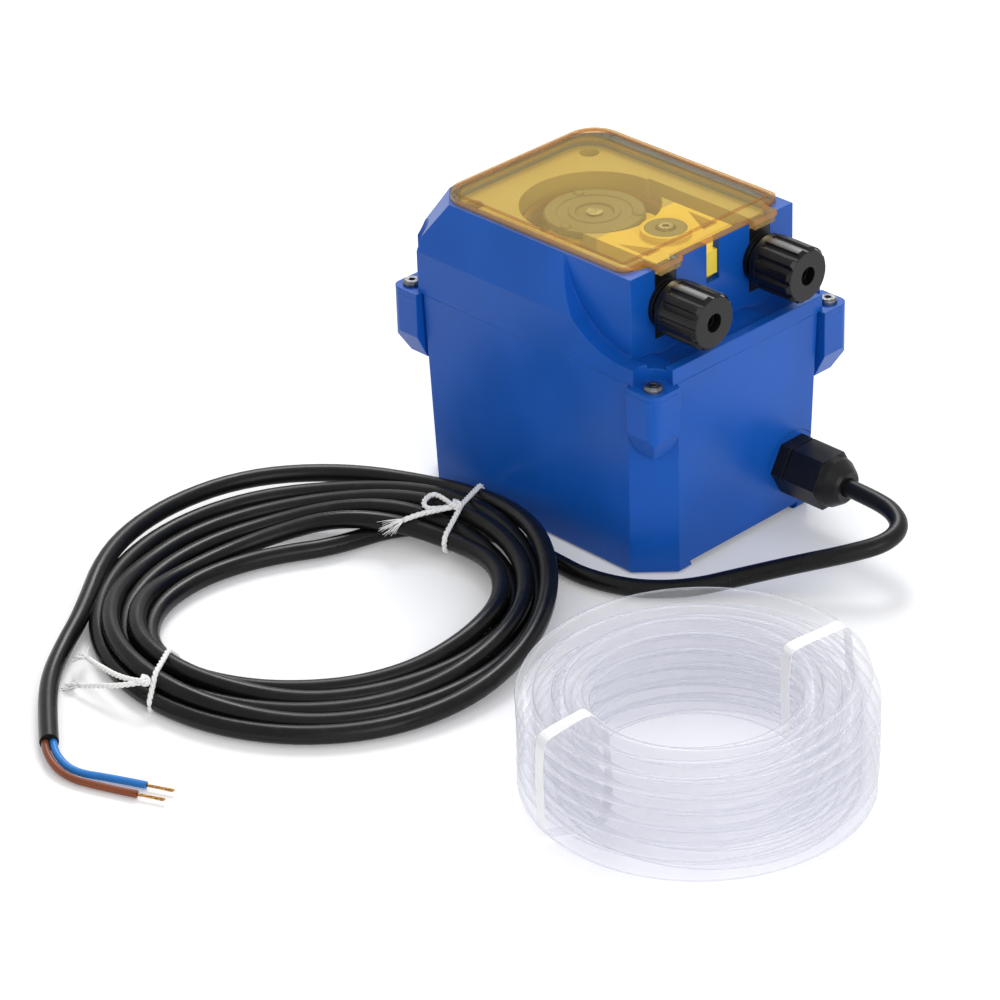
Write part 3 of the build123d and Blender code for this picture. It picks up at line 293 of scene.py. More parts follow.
def hoseRoute(facts):
    points = []
    total = facts["columns"] * facts["climb"] + (facts["columns"] - 1) * facts["shift"]
    for k in range(int(total * facts["perTurn"]) + 1):
        t = k / facts["perTurn"]
        block = facts["climb"] + facts["shift"]
        column = min(int(t / block), facts["columns"] - 1)
        inside = t - column * block
        change = max(0.0, inside - facts["climb"]) / facts["shift"]
        upward = column % 2 == 0
        level = min(inside, facts["climb"]) * facts["rise"]
        z = level if upward else facts["climb"] * facts["rise"] - level
        lift = facts["changeLift"] * math.sin(math.pi * change) if change and upward else 0.0
        reach = facts["firstReach"] + facts["columnStep"] * (column + change)
        angle = math.radians(facts["startAngle"]) + 2 * math.pi * t
        reach *= 1 + facts["squash"] * math.cos(2 * angle + 0.7)
        wide, fine = facts["unevenReach"]
        reach += wide * math.sin(3 * angle + 1.3 * column) + fine * math.sin(5.3 * t)
        z += facts["floorHeight"] + lift + facts["unevenHeight"] * math.sin(2.1 * t + column) ** 2
        points.append((facts["centre"][0] + reach * math.cos(angle),
                       facts["centre"][1] + reach * math.sin(angle), z))
    return points


hosePoints = hoseRoute(hoseFacts)
hose = smoothCurve("clear_hose", hosePoints, hoseFacts["diameter"] / 2, detail=5, sides=6)
print("hose wound,", len(hosePoints), "points")


# shader helpers

def setInput(tree, node, key, value):
    socket = node.inputs[key]
    if isinstance(value, bpy.types.NodeSocket):
        tree.links.new(value, socket)
    elif isinstance(value, tuple) and len(value) == 3 and socket.type == "RGBA":
        socket.default_value = (*value, 1.0)
    else:
        socket.default_value = value


def addNode(tree, kind, settings=None, inputs=None):
    node = tree.nodes.new("ShaderNode" + kind)
    for key, value in (settings or {}).items():
        setattr(node, key, value)
    for key, value in (inputs or {}).items():
        setInput(tree, node, key, value)
    return node


def doMath(tree, operation, *values, clamp=False):
    node = addNode(tree, "Math", {"operation": operation, "use_clamp": clamp})
    for k, value in enumerate(values):
        setInput(tree, node, k, value)
    return node.outputs[0]


def spread(tree, value, low, high, fromLow=0.0, fromHigh=1.0):
    return addNode(tree, "MapRange", {"interpolation_type": "SMOOTHSTEP"},
                   {0: value, 1: fromLow, 2: fromHigh, 3: low, 4: high}).outputs[0]


def mixColours(tree, share, first, second):
    return addNode(tree, "Mix", {"data_type": "RGBA"}, {0: share, 6: first, 7: second}).outputs[2]


def shade(text):
    parts = [int(text[k:k + 2], 16) / 255 for k in (1, 3, 5)]
    return tuple(p / 12.92 if p <= 0.04045 else ((p + 0.055) / 1.055) ** 2.4 for p in parts)


def newGroup(name, inputs, outputs):
    tree = bpy.data.node_groups.new(name, "ShaderNodeTree")
    for key, value in inputs.items():
        socket = tree.interface.new_socket(key, in_out="INPUT", socket_type="NodeSocketFloat")
        socket.default_value = value
    for key, kind in outputs.items():
        tree.interface.new_socket(key, in_out="OUTPUT", socket_type="NodeSocket" + kind)
    return tree, tree.nodes.new("NodeGroupInput"), tree.nodes.new("NodeGroupOutput")


def useGroup(tree, group, inputs):
    node = tree.nodes.new("ShaderNodeGroup")
    node.node_tree = group
    for key, value in inputs.items():
        setInput(tree, node, key, value)
    return node


def objectPlace(tree):
    return addNode(tree, "TexCoord").outputs["Object"]


def noise(tree, place, scale, detail, **more):
    inputs = {"Vector": place, "Scale": scale, "Detail": detail}
    return addNode(tree, "TexNoise", None, {**inputs, **more}).outputs[0]


def bumpOf(tree, strength, distance, height, **more):
    inputs = {"Strength": strength, "Distance": distance, "Height": height}
    return addNode(tree, "Bump", None, {**inputs, **more}).outputs[0]


def lessInShadow(tree, share, relief):    # lamps and sky reach through clear walls
    shadow = addNode(tree, "LightPath").outputs["Is Shadow Ray"]
    return doMath(tree, "MULTIPLY", share, doMath(tree, "MULTIPLY_ADD", shadow, -relief, 1.0))


# effects that several materials share

effectFacts = {
    "waveShare": 0.8,                     # the slow waves beside the fine grain, in height
    "cloudRange": (0.32, 0.68),
    "rubTurn": (0.5, 0.3, 0.9),
    "rubStretch": (1.0, 9.0, 2.5),
    "rubFade": 0.12,
    "edgeRange": (0.86, 0.99),            # how far the rounded normal leans before it counts as an edge
    "breakRange": (0.35, 0.65),
    "upwardRange": (0.3, 1.0),
    "speckRange": (0.45, 0.75),
    "toneRange": (0.3, 0.7),
}


def makeMouldSkin(facts):
    tree, start, end = newGroup("mouldSkin", {"Grain Scale": 2200.0, "Cloud Scale": 30.0},
                                {"Height": "Float", "Cloud": "Float"})
    place = objectPlace(tree)
    grain = noise(tree, place, start.outputs["Grain Scale"], 2.0)
    waves = noise(tree, place, start.outputs["Cloud Scale"], 3.0)
    setInput(tree, end, "Height", doMath(tree, "MULTIPLY_ADD", waves, facts["waveShare"], grain))
    setInput(tree, end, "Cloud", spread(tree, waves, 0.0, 1.0, *facts["cloudRange"]))
    return tree


def makeRubMarks(facts):
    tree, start, end = newGroup("rubMarks", {"Scale": 60.0, "Rarity": 0.62}, {"Mask": "Float"})
    stretched = addNode(tree, "Mapping", None, {"Vector": objectPlace(tree), "Rotation": facts["rubTurn"],
                                                "Scale": facts["rubStretch"]})
    streaks = noise(tree, stretched.outputs[0], start.outputs["Scale"], 5.0, Roughness=0.7)
    rare = start.outputs["Rarity"]
    top = doMath(tree, "ADD", rare, facts["rubFade"])
    mask = addNode(tree, "MapRange", None, {0: streaks, 1: rare, 2: top})
    setInput(tree, end, "Mask", mask.outputs[0])
    return tree


def makeSoftEdge(facts):
    tree, start, end = newGroup("softEdge", {"Radius": 0.0005, "Breakup": 120.0},
                                {"Normal": "Vector", "Edge": "Float"})
    bevel = addNode(tree, "Bevel", {"samples": 6}, {"Radius": start.outputs["Radius"]})
    plain = addNode(tree, "NewGeometry").outputs["Normal"]
    match = addNode(tree, "VectorMath", {"operation": "DOT_PRODUCT"}, {0: bevel.outputs[0], 1: plain})
    broken = noise(tree, objectPlace(tree), start.outputs["Breakup"], 4.0)
    edge = spread(tree, match.outputs["Value"], 1.0, 0.0, *facts["edgeRange"])
    broken = spread(tree, broken, 0.0, 1.0, *facts["breakRange"])
    setInput(tree, end, "Normal", bevel.outputs[0])
    setInput(tree, end, "Edge", doMath(tree, "MULTIPLY", edge, broken))
    return tree


def makeSettledDust(facts):
    tree, start, end = newGroup("settledDust", {"Scale": 90.0, "Amount": 0.5}, {"Mask": "Float"})
    split = addNode(tree, "SeparateXYZ", None, {0: addNode(tree, "NewGeometry").outputs["Normal"]})
    facing = spread(tree, split.outputs[2], 0.0, 1.0, *facts["upwardRange"])
    cloud = noise(tree, objectPlace(tree), start.outputs["Scale"], 6.0, Roughness=0.75)
    specks = spread(tree, cloud, 0.0, 1.0, *facts["speckRange"])
    mask = doMath(tree, "MULTIPLY", doMath(tree, "MULTIPLY", facing, specks), start.outputs["Amount"])
    setInput(tree, end, "Mask", mask)
    return tree


def makeDrawnLines(facts):
    tree, start, end = newGroup("drawnLines", {"Scale": 700.0, "Along": 0.04},
                                {"Height": "Float", "Tone": "Float"})
    squeeze = addNode(tree, "CombineXYZ", None, {0: 1.0, 1: 1.0, 2: start.outputs["Along"]})
    place = addNode(tree, "Mapping", None, {"Vector": objectPlace(tree), "Scale": squeeze.outputs[0]})
    lines = noise(tree, place.outputs[0], start.outputs["Scale"], 3.0)
    setInput(tree, end, "Height", lines)
    setInput(tree, end, "Tone", spread(tree, lines, 0.0, 1.0, *facts["toneRange"]))
    return tree


mouldSkin, rubMarks, softEdge = (make(effectFacts) for make in (makeMouldSkin, makeRubMarks, makeSoftEdge))
settledDust, drawnLines = makeSettledDust(effectFacts), makeDrawnLines(effectFacts)
print("shared effects made")


# materials

def newMaterial(name):
    material = bpy.data.materials.new(name)
    material.use_nodes = True
    material.node_tree.nodes.clear()
    tree = material.node_tree
    return material, tree, addNode(tree, "OutputMaterial")


plasticFinishes = {
    "blueShell": {"colour": "#1259BA", "deep": "#0F53AE", "worn": "#3A79CC", "rough": (0.28, 0.36),
                  "grain": 1500.0, "depth": 0.05, "edge": 0.0006, "wear": 0.3, "dust": 0.02, "coat": 0.0},
    "yellowPlastic": {"colour": "#F6DF55", "deep": "#E6C83C", "worn": "#FBEFA0", "rough": (0.36, 0.5),
                      "grain": 1800.0, "depth": 0.04, "edge": 0.0004, "wear": 0.3, "dust": 0.02, "coat": 0.1},
    # the head casing is yellow; painted shade turns its body outside the front block to the dimmer tan given
    # as round, standing for the casing sunk in shade under the cover
    "casingPlastic": {"colour": "#F8E35A", "deep": "#EFD448", "worn": "#FBEFA0", "rough": (0.36, 0.5),
                      "grain": 1800.0, "depth": 0.04, "edge": 0.0004, "wear": 0.3, "dust": 0.02, "coat": 0.1,
                      "round": "#BFB486"},
    "blackPlastic": {"colour": "#161616", "deep": "#0E0E0F", "worn": "#3A3A3A", "rough": (0.30, 0.48),
                     "grain": 1600.0, "depth": 0.08, "edge": 0.0004, "wear": 0.5, "dust": 0.03, "coat": 0.1},
    "greyPlastic": {"colour": "#7E8078", "deep": "#6C6E66", "worn": "#A2A49C", "rough": (0.4, 0.55),
                    "grain": 1500.0, "depth": 0.08, "edge": 0.0004, "wear": 0.3, "dust": 0.05, "coat": 0.0},
    "whitePlastic": {"colour": "#E9E9E4", "deep": "#DADAD4", "worn": "#F8F8F5", "rough": (0.35, 0.5),
                     "grain": 1400.0, "depth": 0.05, "edge": 0.0004, "wear": 0.3, "dust": 0.03, "coat": 0.0},
    "coreBlue": {"colour": "#2E86D8", "deep": "#2272C0", "worn": "#5FA6E6", "rough": (0.32, 0.42),
                 "grain": 2600.0, "depth": 0.04, "edge": 0.0002, "wear": 0.15, "dust": 0.03, "coat": 0.1},
    "coreBrown": {"colour": "#8A4A2C", "deep": "#733A20", "worn": "#A8663F", "rough": (0.34, 0.44),
                  "grain": 2600.0, "depth": 0.04, "edge": 0.0002, "wear": 0.15, "dust": 0.03, "coat": 0.1},
    "cableBlack": {"colour": "#131312", "deep": "#0D0D0C", "worn": "#2C2B29", "rough": (0.26, 0.38),
                   "grain": 1300.0, "depth": 0.10, "edge": 0.0002, "wear": 0.2, "dust": 0.02, "coat": 0.0},
    "tubeRubber": {"colour": "#B08A4A", "deep": "#94703A", "worn": "#C8A468", "rough": (0.45, 0.6),
                   "grain": 1500.0, "depth": 0.10, "edge": 0.0003, "wear": 0.2, "dust": 0.05, "coat": 0.0},
    "sealRubber": {"colour": "#1C1C1C", "deep": "#121212", "worn": "#333333", "rough": (0.55, 0.7),
                   "grain": 1200.0, "depth": 0.15, "edge": 0.0003, "wear": 0.2, "dust": 0.10, "coat": 0.0},
    "magnet": {"colour": "#2B2B2D", "deep": "#202022", "worn": "#505052", "rough": (0.5, 0.65),
               "grain": 900.0, "depth": 0.2, "edge": 0.0003, "wear": 0.5, "dust": 0.05, "coat": 0.0},
}
mouldedSurface = {"cloud": 26.0, "rubScale": 110.0, "rubRarity": 0.66, "rubRough": 0.06, "edgeBreakup": 150.0,
                  "dustScale": 140.0, "dustRough": 0.6, "grainDepth": 0.0002, "ior": 1.49, "specular": 0.25,
                  "coatRough": 0.2}
islandFacts = {"halfWidth": 19.6, "back": -9.0}      # mm, the casing's front block, between the tube channels
dustColour = shade("#B9B4A8")


def frontIsland(tree, facts):
    split = addNode(tree, "SeparateXYZ", None, {0: objectPlace(tree)})
    across = doMath(tree, "ABSOLUTE", split.outputs[0])
    inside = doMath(tree, "LESS_THAN", across, facts["halfWidth"] * mm)
    return doMath(tree, "MULTIPLY", inside, doMath(tree, "LESS_THAN", split.outputs[1], facts["back"] * mm))


def makePlastic(name, facts, surface):
    material, tree, end = newMaterial(name)
    skin = useGroup(tree, mouldSkin, {"Grain Scale": facts["grain"], "Cloud Scale": surface["cloud"]})
    rubs = useGroup(tree, rubMarks, {"Scale": surface["rubScale"], "Rarity": surface["rubRarity"]})
    edge = useGroup(tree, softEdge, {"Radius": facts["edge"], "Breakup": surface["edgeBreakup"]})
    dust = useGroup(tree, settledDust, {"Scale": surface["dustScale"], "Amount": facts["dust"]})
    colour = mixColours(tree, skin.outputs["Cloud"], shade(facts["deep"]), shade(facts["colour"]))
    # painted shade: outside the casing's front block the colour turns to the dimmer tan
    if "round" in facts:
        colour = mixColours(tree, frontIsland(tree, islandFacts), shade(facts["round"]), colour)
    worn = doMath(tree, "MULTIPLY", edge.outputs["Edge"], facts["wear"])
    colour = mixColours(tree, worn, colour, shade(facts["worn"]))
    colour = mixColours(tree, dust.outputs["Mask"], colour, dustColour)
    low, high = facts["rough"]
    rough = spread(tree, skin.outputs["Cloud"], low, high)
    rough = doMath(tree, "MULTIPLY_ADD", rubs.outputs["Mask"], surface["rubRough"], rough)
    rough = doMath(tree, "MULTIPLY_ADD", dust.outputs["Mask"], surface["dustRough"], rough, clamp=True)
    bump = bumpOf(tree, facts["depth"], surface["grainDepth"], skin.outputs["Height"],
                  Normal=edge.outputs["Normal"])
    shader = addNode(tree, "BsdfPrincipled", None, {
        "Base Color": colour, "Roughness": rough, "Normal": bump, "IOR": surface["ior"],
        "Specular IOR Level": surface["specular"], "Coat Weight": facts["coat"],
        "Coat Roughness": surface["coatRough"]})
    setInput(tree, end, "Surface", shader.outputs[0])
    return material


metalFinishes = {
    "steel": {"colour": "#8E9093", "deep": "#66686B", "rough": (0.28, 0.46), "scale": 900.0, "edge": 0.0003},
    "brass": {"colour": "#D3A85A", "deep": "#A98040", "rough": (0.25, 0.42), "scale": 900.0, "edge": 0.0003},
    "copper": {"colour": "#E3B778", "deep": "#C08A4E", "rough": (0.25, 0.4), "scale": 1600.0, "edge": 0.0001},
}
drawnSurface = {"along": 0.08, "edgeBreakup": 200.0, "edgeShine": 0.4, "bright": "#E8E8E6", "rubScale": 120.0,
                "rubRarity": 0.58, "rubRough": 0.15, "lineStrength": 0.12, "lineDepth": 0.0001}


def makeMetal(name, facts, surface):
    material, tree, end = newMaterial(name)
    lines = useGroup(tree, drawnLines, {"Scale": facts["scale"], "Along": surface["along"]})
    edge = useGroup(tree, softEdge, {"Radius": facts["edge"], "Breakup": surface["edgeBreakup"]})
    rubs = useGroup(tree, rubMarks, {"Scale": surface["rubScale"], "Rarity": surface["rubRarity"]})
    colour = mixColours(tree, lines.outputs["Tone"], shade(facts["deep"]), shade(facts["colour"]))
    # painted highlight: the metal's edges are lightened towards a pale grey, a glint painted into the colour
    paintedGlint = doMath(tree, "MULTIPLY", edge.outputs["Edge"], surface["edgeShine"])
    colour = mixColours(tree, paintedGlint, colour, shade(surface["bright"]))
    low, high = facts["rough"]
    rough = doMath(tree, "MULTIPLY_ADD", rubs.outputs["Mask"], surface["rubRough"],
                   spread(tree, lines.outputs["Tone"], low, high))
    bump = bumpOf(tree, surface["lineStrength"], surface["lineDepth"], lines.outputs["Height"],
                  Normal=edge.outputs["Normal"])
    shader = addNode(tree, "BsdfPrincipled", None, {"Base Color": colour, "Metallic": 1.0, "Roughness": rough,
                                                    "Normal": bump})
    setInput(tree, end, "Surface", shader.outputs[0])
    return material


amberFacts = {
    "tint": "#FEFAE0", "body": "#D6BE7C", "rim": "#E07A26",
    "solid": 0.19, "edgeSolid": 0.8,      # how much hides what lies under, at the middle and at the edges
    "shadow": 0.8, "plateLow": 111.0,
    "grain": 700.0, "cloud": 22.0, "edgeRadius": 0.0011, "edgeBreakup": 60.0, "edgeShare": 0.5,
    "rubScale": 30.0, "rubRarity": 0.6, "rubRough": 0.15, "rough": (0.12, 0.2),
    "wallShare": 0.06, "plateShare": 0.42, "uprightRange": (0.3, 0.8),
    "facingShare": 0.5, "facingGain": 0.5, "facingPower": 2.0, "rimBlend": 0.3,
    "ior": 1.49, "coat": 0.3, "coatRough": 0.08, "bumpStrength": 0.05, "bumpDepth": 0.0003,
}


def makeAmber(name, facts):
    material, tree, end = newMaterial(name)
    skin = useGroup(tree, mouldSkin, {"Grain Scale": facts["grain"], "Cloud Scale": facts["cloud"]})
    edge = useGroup(tree, softEdge, {"Radius": facts["edgeRadius"], "Breakup": facts["edgeBreakup"]})
    rubs = useGroup(tree, rubMarks, {"Scale": facts["rubScale"], "Rarity": facts["rubRarity"]})
    rim = addNode(tree, "LayerWeight", None, {"Blend": facts["rimBlend"]}).outputs["Facing"]
    split = addNode(tree, "SeparateXYZ", None, {0: addNode(tree, "NewGeometry").outputs["True Normal"]})
    upright = spread(tree, doMath(tree, "ABSOLUTE", split.outputs[2]), 1.0, 0.0, *facts["uprightRange"])
    grazing = doMath(tree, "POWER", rim, facts["facingPower"])
    gathered = doMath(tree, "MULTIPLY", grazing, facts["facingGain"])
    height = addNode(tree, "SeparateXYZ", None, {0: objectPlace(tree)}).outputs[2]
    plate = doMath(tree, "GREATER_THAN", height, facts["plateLow"] * mm)
    walls = doMath(tree, "MULTIPLY_ADD", plate, facts["plateShare"], facts["wallShare"])
    upright = doMath(tree, "MULTIPLY", upright, walls)
    gathered = doMath(tree, "MAXIMUM", doMath(tree, "MULTIPLY", gathered, facts["facingShare"]), upright)
    sharp = doMath(tree, "MULTIPLY", edge.outputs["Edge"], facts["edgeShare"])
    gathered = doMath(tree, "MAXIMUM", gathered, sharp)
    colour = mixColours(tree, gathered, shade(facts["body"]), shade(facts["rim"]))
    tint = mixColours(tree, gathered, shade(facts["tint"]), shade(facts["rim"]))
    film = addNode(tree, "BsdfTransparent", None, {"Color": tint})
    bump = bumpOf(tree, facts["bumpStrength"], facts["bumpDepth"], skin.outputs["Height"],
                  Normal=edge.outputs["Normal"])
    low, high = facts["rough"]
    rough = doMath(tree, "MULTIPLY_ADD", rubs.outputs["Mask"], facts["rubRough"],
                   spread(tree, skin.outputs["Cloud"], low, high))
    shader = addNode(tree, "BsdfPrincipled", None, {
        "Base Color": colour, "Roughness": rough, "IOR": facts["ior"], "Normal": bump,
        "Coat Weight": facts["coat"], "Coat Roughness": facts["coatRough"]})
    share = lessInShadow(tree, spread(tree, gathered, facts["solid"], facts["edgeSolid"]), facts["shadow"])
    both = addNode(tree, "MixShader", None, {0: share, 1: film.outputs[0], 2: shader.outputs[0]})
    setInput(tree, end, "Surface", both.outputs[0])
    return material


hoseLook = {"colour": "#E4E5E8", "edge": "#B8BCCE", "film": "#FDFDFE", "middle": 0.1, "rim": 0.55,
            "shadow": 0.93}
bandLook = {"colour": "#FFFFFF", "edge": "#F6F7FA", "film": "#FFFFFF", "middle": 0.5, "rim": 0.7,
            "shadow": 0.8}
clearSurface = {"grain": 500.0, "cloud": 40.0, "cloudShare": 0.05, "rough": 0.12, "ior": 1.52,
                "rimBlend": 0.5, "wallRange": (0.35, 0.95), "outlineRange": (0.72, 0.96),
                "bumpStrength": 0.08, "bumpDepth": 0.0003}


def makeClearHose(name, facts, surface):
    material, tree, end = newMaterial(name)
    skin = useGroup(tree, mouldSkin, {"Grain Scale": surface["grain"], "Cloud Scale": surface["cloud"]})
    rim = addNode(tree, "LayerWeight", None, {"Blend": surface["rimBlend"]}).outputs["Facing"]
    wall = spread(tree, rim, facts["middle"], facts["rim"], *surface["wallRange"])
    cloudy = doMath(tree, "MULTIPLY_ADD", skin.outputs["Cloud"], surface["cloudShare"], wall)
    cloudy = lessInShadow(tree, cloudy, facts["shadow"])
    outline = spread(tree, rim, 0.0, 1.0, *surface["outlineRange"])
    colour = mixColours(tree, outline, shade(facts["colour"]), shade(facts["edge"]))
    bump = bumpOf(tree, surface["bumpStrength"], surface["bumpDepth"], skin.outputs["Height"])
    shader = addNode(tree, "BsdfPrincipled", None, {"Base Color": colour, "Roughness": surface["rough"],
                                                    "IOR": surface["ior"], "Normal": bump})
    film = addNode(tree, "BsdfTransparent", None, {"Color": shade(facts["film"])})
    both = addNode(tree, "MixShader", None, {0: cloudy, 1: film.outputs[0], 2: shader.outputs[0]})
    setInput(tree, end, "Surface", both.outputs[0])
    return material


fibreLook = {"colour": "#FFFFFF", "deep": "#ECECE8", "scale": 1400.0, "rough": (0.6, 0.85), "sheen": 0.2,
             "turn": (0.6, 0.4, 0.2), "stretch": (1.0, 1.0, 6.0), "toneRange": (0.3, 0.7),
             "bumpStrength": 0.5, "bumpDepth": 0.0002}


def makeFibre(name, facts):
    material, tree, end = newMaterial(name)
    place = addNode(tree, "Mapping", None, {"Vector": objectPlace(tree), "Rotation": facts["turn"],
                                            "Scale": facts["stretch"]})
    threads = noise(tree, place.outputs[0], facts["scale"], 4.0)
    tone = spread(tree, threads, 0.0, 1.0, *facts["toneRange"])
    colour = mixColours(tree, tone, shade(facts["deep"]), shade(facts["colour"]))
    bump = bumpOf(tree, facts["bumpStrength"], facts["bumpDepth"], threads)
    low, high = facts["rough"]
    shader = addNode(tree, "BsdfPrincipled", None, {
        "Base Color": colour, "Roughness": spread(tree, tone, low, high), "Normal": bump,
        "Sheen Weight": facts["sheen"]})
    setInput(tree, end, "Surface", shader.outputs[0])
    return material


finishes = {key: makePlastic(key, facts, mouldedSurface) for key, facts in plasticFinishes.items()}
finishes.update({key: makeMetal(key, facts, drawnSurface) for key, facts in metalFinishes.items()})
finishes["amberCover"] = makeAmber("amberCover", amberFacts)
finishes["clearHose"] = makeClearHose("clearHose", hoseLook, clearSurface)
finishes["tieFibre"] = makeFibre("tieFibre", fibreLook)
finishes["bandFilm"] = makeClearHose("bandFilm", bandLook, clearSurface)
print("materials made,", len(finishes))


def finishOf(slot):
    first, *rest = slot.split("_")
    return finishes[first + "".join(word.capitalize() for word in rest)]


def standIn(piece, body, finish, slot, *nodes):
    piece.data.materials.append(finishes[finish])
    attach(piece, body)
    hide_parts(*nodes)


# painted shade: the grip rings, white plastic in model.json, take the black finish so the openings of the
# connector nuts read dark; the head casing takes the finish with its painted tan shade
paintedShadeFinishes = {"left_grip_ring": "blackPlastic", "right_grip_ring": "blackPlastic",
               "head_casing": "casingPlastic"}
for part in frame["record"]["subparts"]:
    slots = frame["nodes"][part["node"]].data.materials
    own = paintedShadeFinishes.get(part["node"])
    finish = finishes[own] if own else finishOf(part["material_slot"])
    if not slots:
        slots.append(finish)
    for k in range(len(slots)):
        slots[k] = finish
print("nodes dressed")


# bare strands: a twisted bundle on each core

strandFacts = {"length": 10.2, "wire": 0.17, "rings": ((1, 0.0), (6, 0.36)), "lay": 24.0, "flare": 0.25,
               "steps": 12, "sides": 6, "uneven": 0.5, "unevenStep": 2.4, "sunk": 0.3}


def makeStrands(facts):
    bm = bmesh.new()
    for key in ("blue", "brown"):
        last, before = (Vector(coreFacts[key]["route"][k]) for k in (-1, -2))
        ahead = (last - before).normalized()
        side = ahead.cross(Vector((0, 0, 1))).normalized()
        up = side.cross(ahead)
        for count, ring in facts["rings"]:
            for k in range(count):
                path = []
                for step in range(facts["steps"] + 1):
                    along = step / facts["steps"]
                    angle = 2 * math.pi * (k / count + along * facts["length"] / facts["lay"])
                    reach = ring * (1 + facts["flare"] * along ** 3)
                    long = facts["length"] - facts["uneven"] * math.sin(k * facts["unevenStep"] + ring) ** 2
                    path.append(last + ahead * (along * long - facts["sunk"])
                                + (side * math.cos(angle) + up * math.sin(angle)) * reach)
                addTube(bm, path, lambda u: facts["wire"], facts["sides"])
    return finishMesh(bm, "strand_bundles")


strands = makeStrands(strandFacts)
standIn(strands, "housing", "copper", "copper", "bare_strands")


# rotor head: a disc smaller than the rollers' ring, riveted to the roller pins

rotorFacts = {
    "middle": (0, 11), "sides": 96,
    "disc": [(3.02, 92.7), (5, 92.7), (5, 101.7), (17.6, 101.7), (18, 102.1), (18, 103.7), (17.5, 104.2),
             (13.6, 104.2), (13.2, 103.8), (9.4, 103.8), (9, 104.2), (7, 104.2), (6.4, 103.5), (3.02, 103.5)],
    "rivet": [(0.02, 104.85), (1.1, 104.8), (1.8, 104.6), (2.1, 104.3), (2.1, 104.1)],
    "rivetSides": 20, "pinReach": 15.7, "firstPin": 65.0, "pins": 3,
}


def turnProfile(bm, profile, middle, sides, closed):
    rings = [[bm.verts.new(Vector((middle[0] + r * math.cos(a), middle[1] + r * math.sin(a), z)) * mm)
              for a in (2 * math.pi * k / sides for k in range(sides))] for r, z in profile]
    if closed:
        rings.append(rings[0])
    joinRings(bm, rings)
    return rings


def makeRotorHead(facts):
    bm = bmesh.new()
    turnProfile(bm, facts["disc"], facts["middle"], facts["sides"], True)
    for k in range(facts["pins"]):
        angle = math.radians(facts["firstPin"] + 360 * k / facts["pins"])
        place = (facts["middle"][0] + facts["pinReach"] * math.cos(angle),
                 facts["middle"][1] + facts["pinReach"] * math.sin(angle))
        capEnds(bm, turnProfile(bm, facts["rivet"], place, facts["rivetSides"], False))
    bmesh.ops.recalc_face_normals(bm, faces=bm.faces)
    return finishMesh(bm, "rotor_head")


standIn(makeRotorHead(rotorFacts), "rotor", "greyPlastic", "grey_plastic", "rotor_disc")


# string ties on the lead's coil and bands on the hose's

def crossings(line, middle, turn, span):
    way = Vector((math.cos(math.radians(turn)), math.sin(math.radians(turn))))
    found = []
    for a, b in zip(line, line[1:]):
        first, second = (way.x * (p.y - middle[1]) - way.y * (p.x - middle[0]) for p in (a, b))
        if first * second <= 0 and first != second:
            place = a.lerp(b, first / (first - second))
            along = way.x * (place.x - middle[0]) + way.y * (place.y - middle[1])
            if abs(along) < span:
                found.append((along, place.z))
    return found


hullSides = 28                            # dots round each strand that the hull goes over


def sectionHull(centres, radius, low):
    dots = sorted({(s + radius * math.cos(a), max(z + radius * math.sin(a), low)) for s, z in centres
                   for a in (2 * math.pi * k / hullSides for k in range(hullSides))})
    sides = []
    for run in (dots, list(reversed(dots))):
        chain = []
        for dot in run:
            while len(chain) > 1 and ((chain[-1][0] - chain[-2][0]) * (dot[1] - chain[-2][1])
                                      - (chain[-1][1] - chain[-2][1]) * (dot[0] - chain[-2][0])) <= 1e-9:
                chain.pop()
            chain.append(dot)
        sides += chain[:-1]
    return sides


def evenly(path, step):
    found, left = [path[0]], step
    for here, ahead in zip(path, path[1:]):
        gap = (ahead - here).length
        while gap >= left:
            here = here.lerp(ahead, left / gap)
            found.append(here)
            gap, left = gap - left, step
        left -= gap
    return found


def roundTheSection(line, facts, radius, low):
    hull = sectionHull(crossings(line, facts["middle"], facts["turn"], facts["span"]), radius, low)
    angle = math.radians(facts["turn"])
    return [Vector((facts["middle"][0] + s * math.cos(angle), facts["middle"][1] + s * math.sin(angle), z))
            for s, z in hull]


twineFacts = {"ply": 0.52, "reach": 0.5, "plies": 3, "lay": 6.0, "step": 0.6, "gap": 0.55, "low": 1.05,
              "sides": 6, "knot": 0.62, "knotRise": 0.9, "knotSteps": 48}
frayFacts = {"fibres": 30, "radius": 0.17, "taper": (1.2, 0.7), "sides": 4, "length": (0.78, 0.22),
             "reach": 9.0, "spread": 0.4, "flat": 0.4, "root": 0.35, "droop": (0.25, 0.2),
             "places": (0, 0.2, 0.45, 0.7, 1.0), "low": 0.25}
tieFacts = [
    {"middle": (-67.3, 12.3), "turn": 24.6, "span": 24, "knot": (-70.6, 12.2, 14.6),
     "bow": [(-71, 12.6, 14.4), (-69.6, 19.6, 14.6), (-69.8, 25.4, 14.4), (-76.6, 23.4, 13.9),
             (-77.9, 17.8, 13.6), (-71, 12.6, 14.6)],
     "ends": [[(-71, 12.6, 14.4), (-76, 15.5, 14.0), (-82, 19.5, 13.2), (-87.3, 21.6, 12.3)]]},
    {"middle": (-207, 12), "turn": 31.1, "span": 20, "knot": (-215.6, 9.6, 10.4), "bow": None,
     "ends": [[(-215.6, 9.6, 10.4), (-218, 17, 9.5), (-217.5, 28, 8.2), (-215.4, 40, 6.6)],
              [(-215.6, 9.6, 10.4), (-220.5, 16, 8.4), (-222.5, 25, 5.5), (-224.5, 33, 3.0)]]},
]


def inMillimetres(points):
    return [p / mm for p in points]


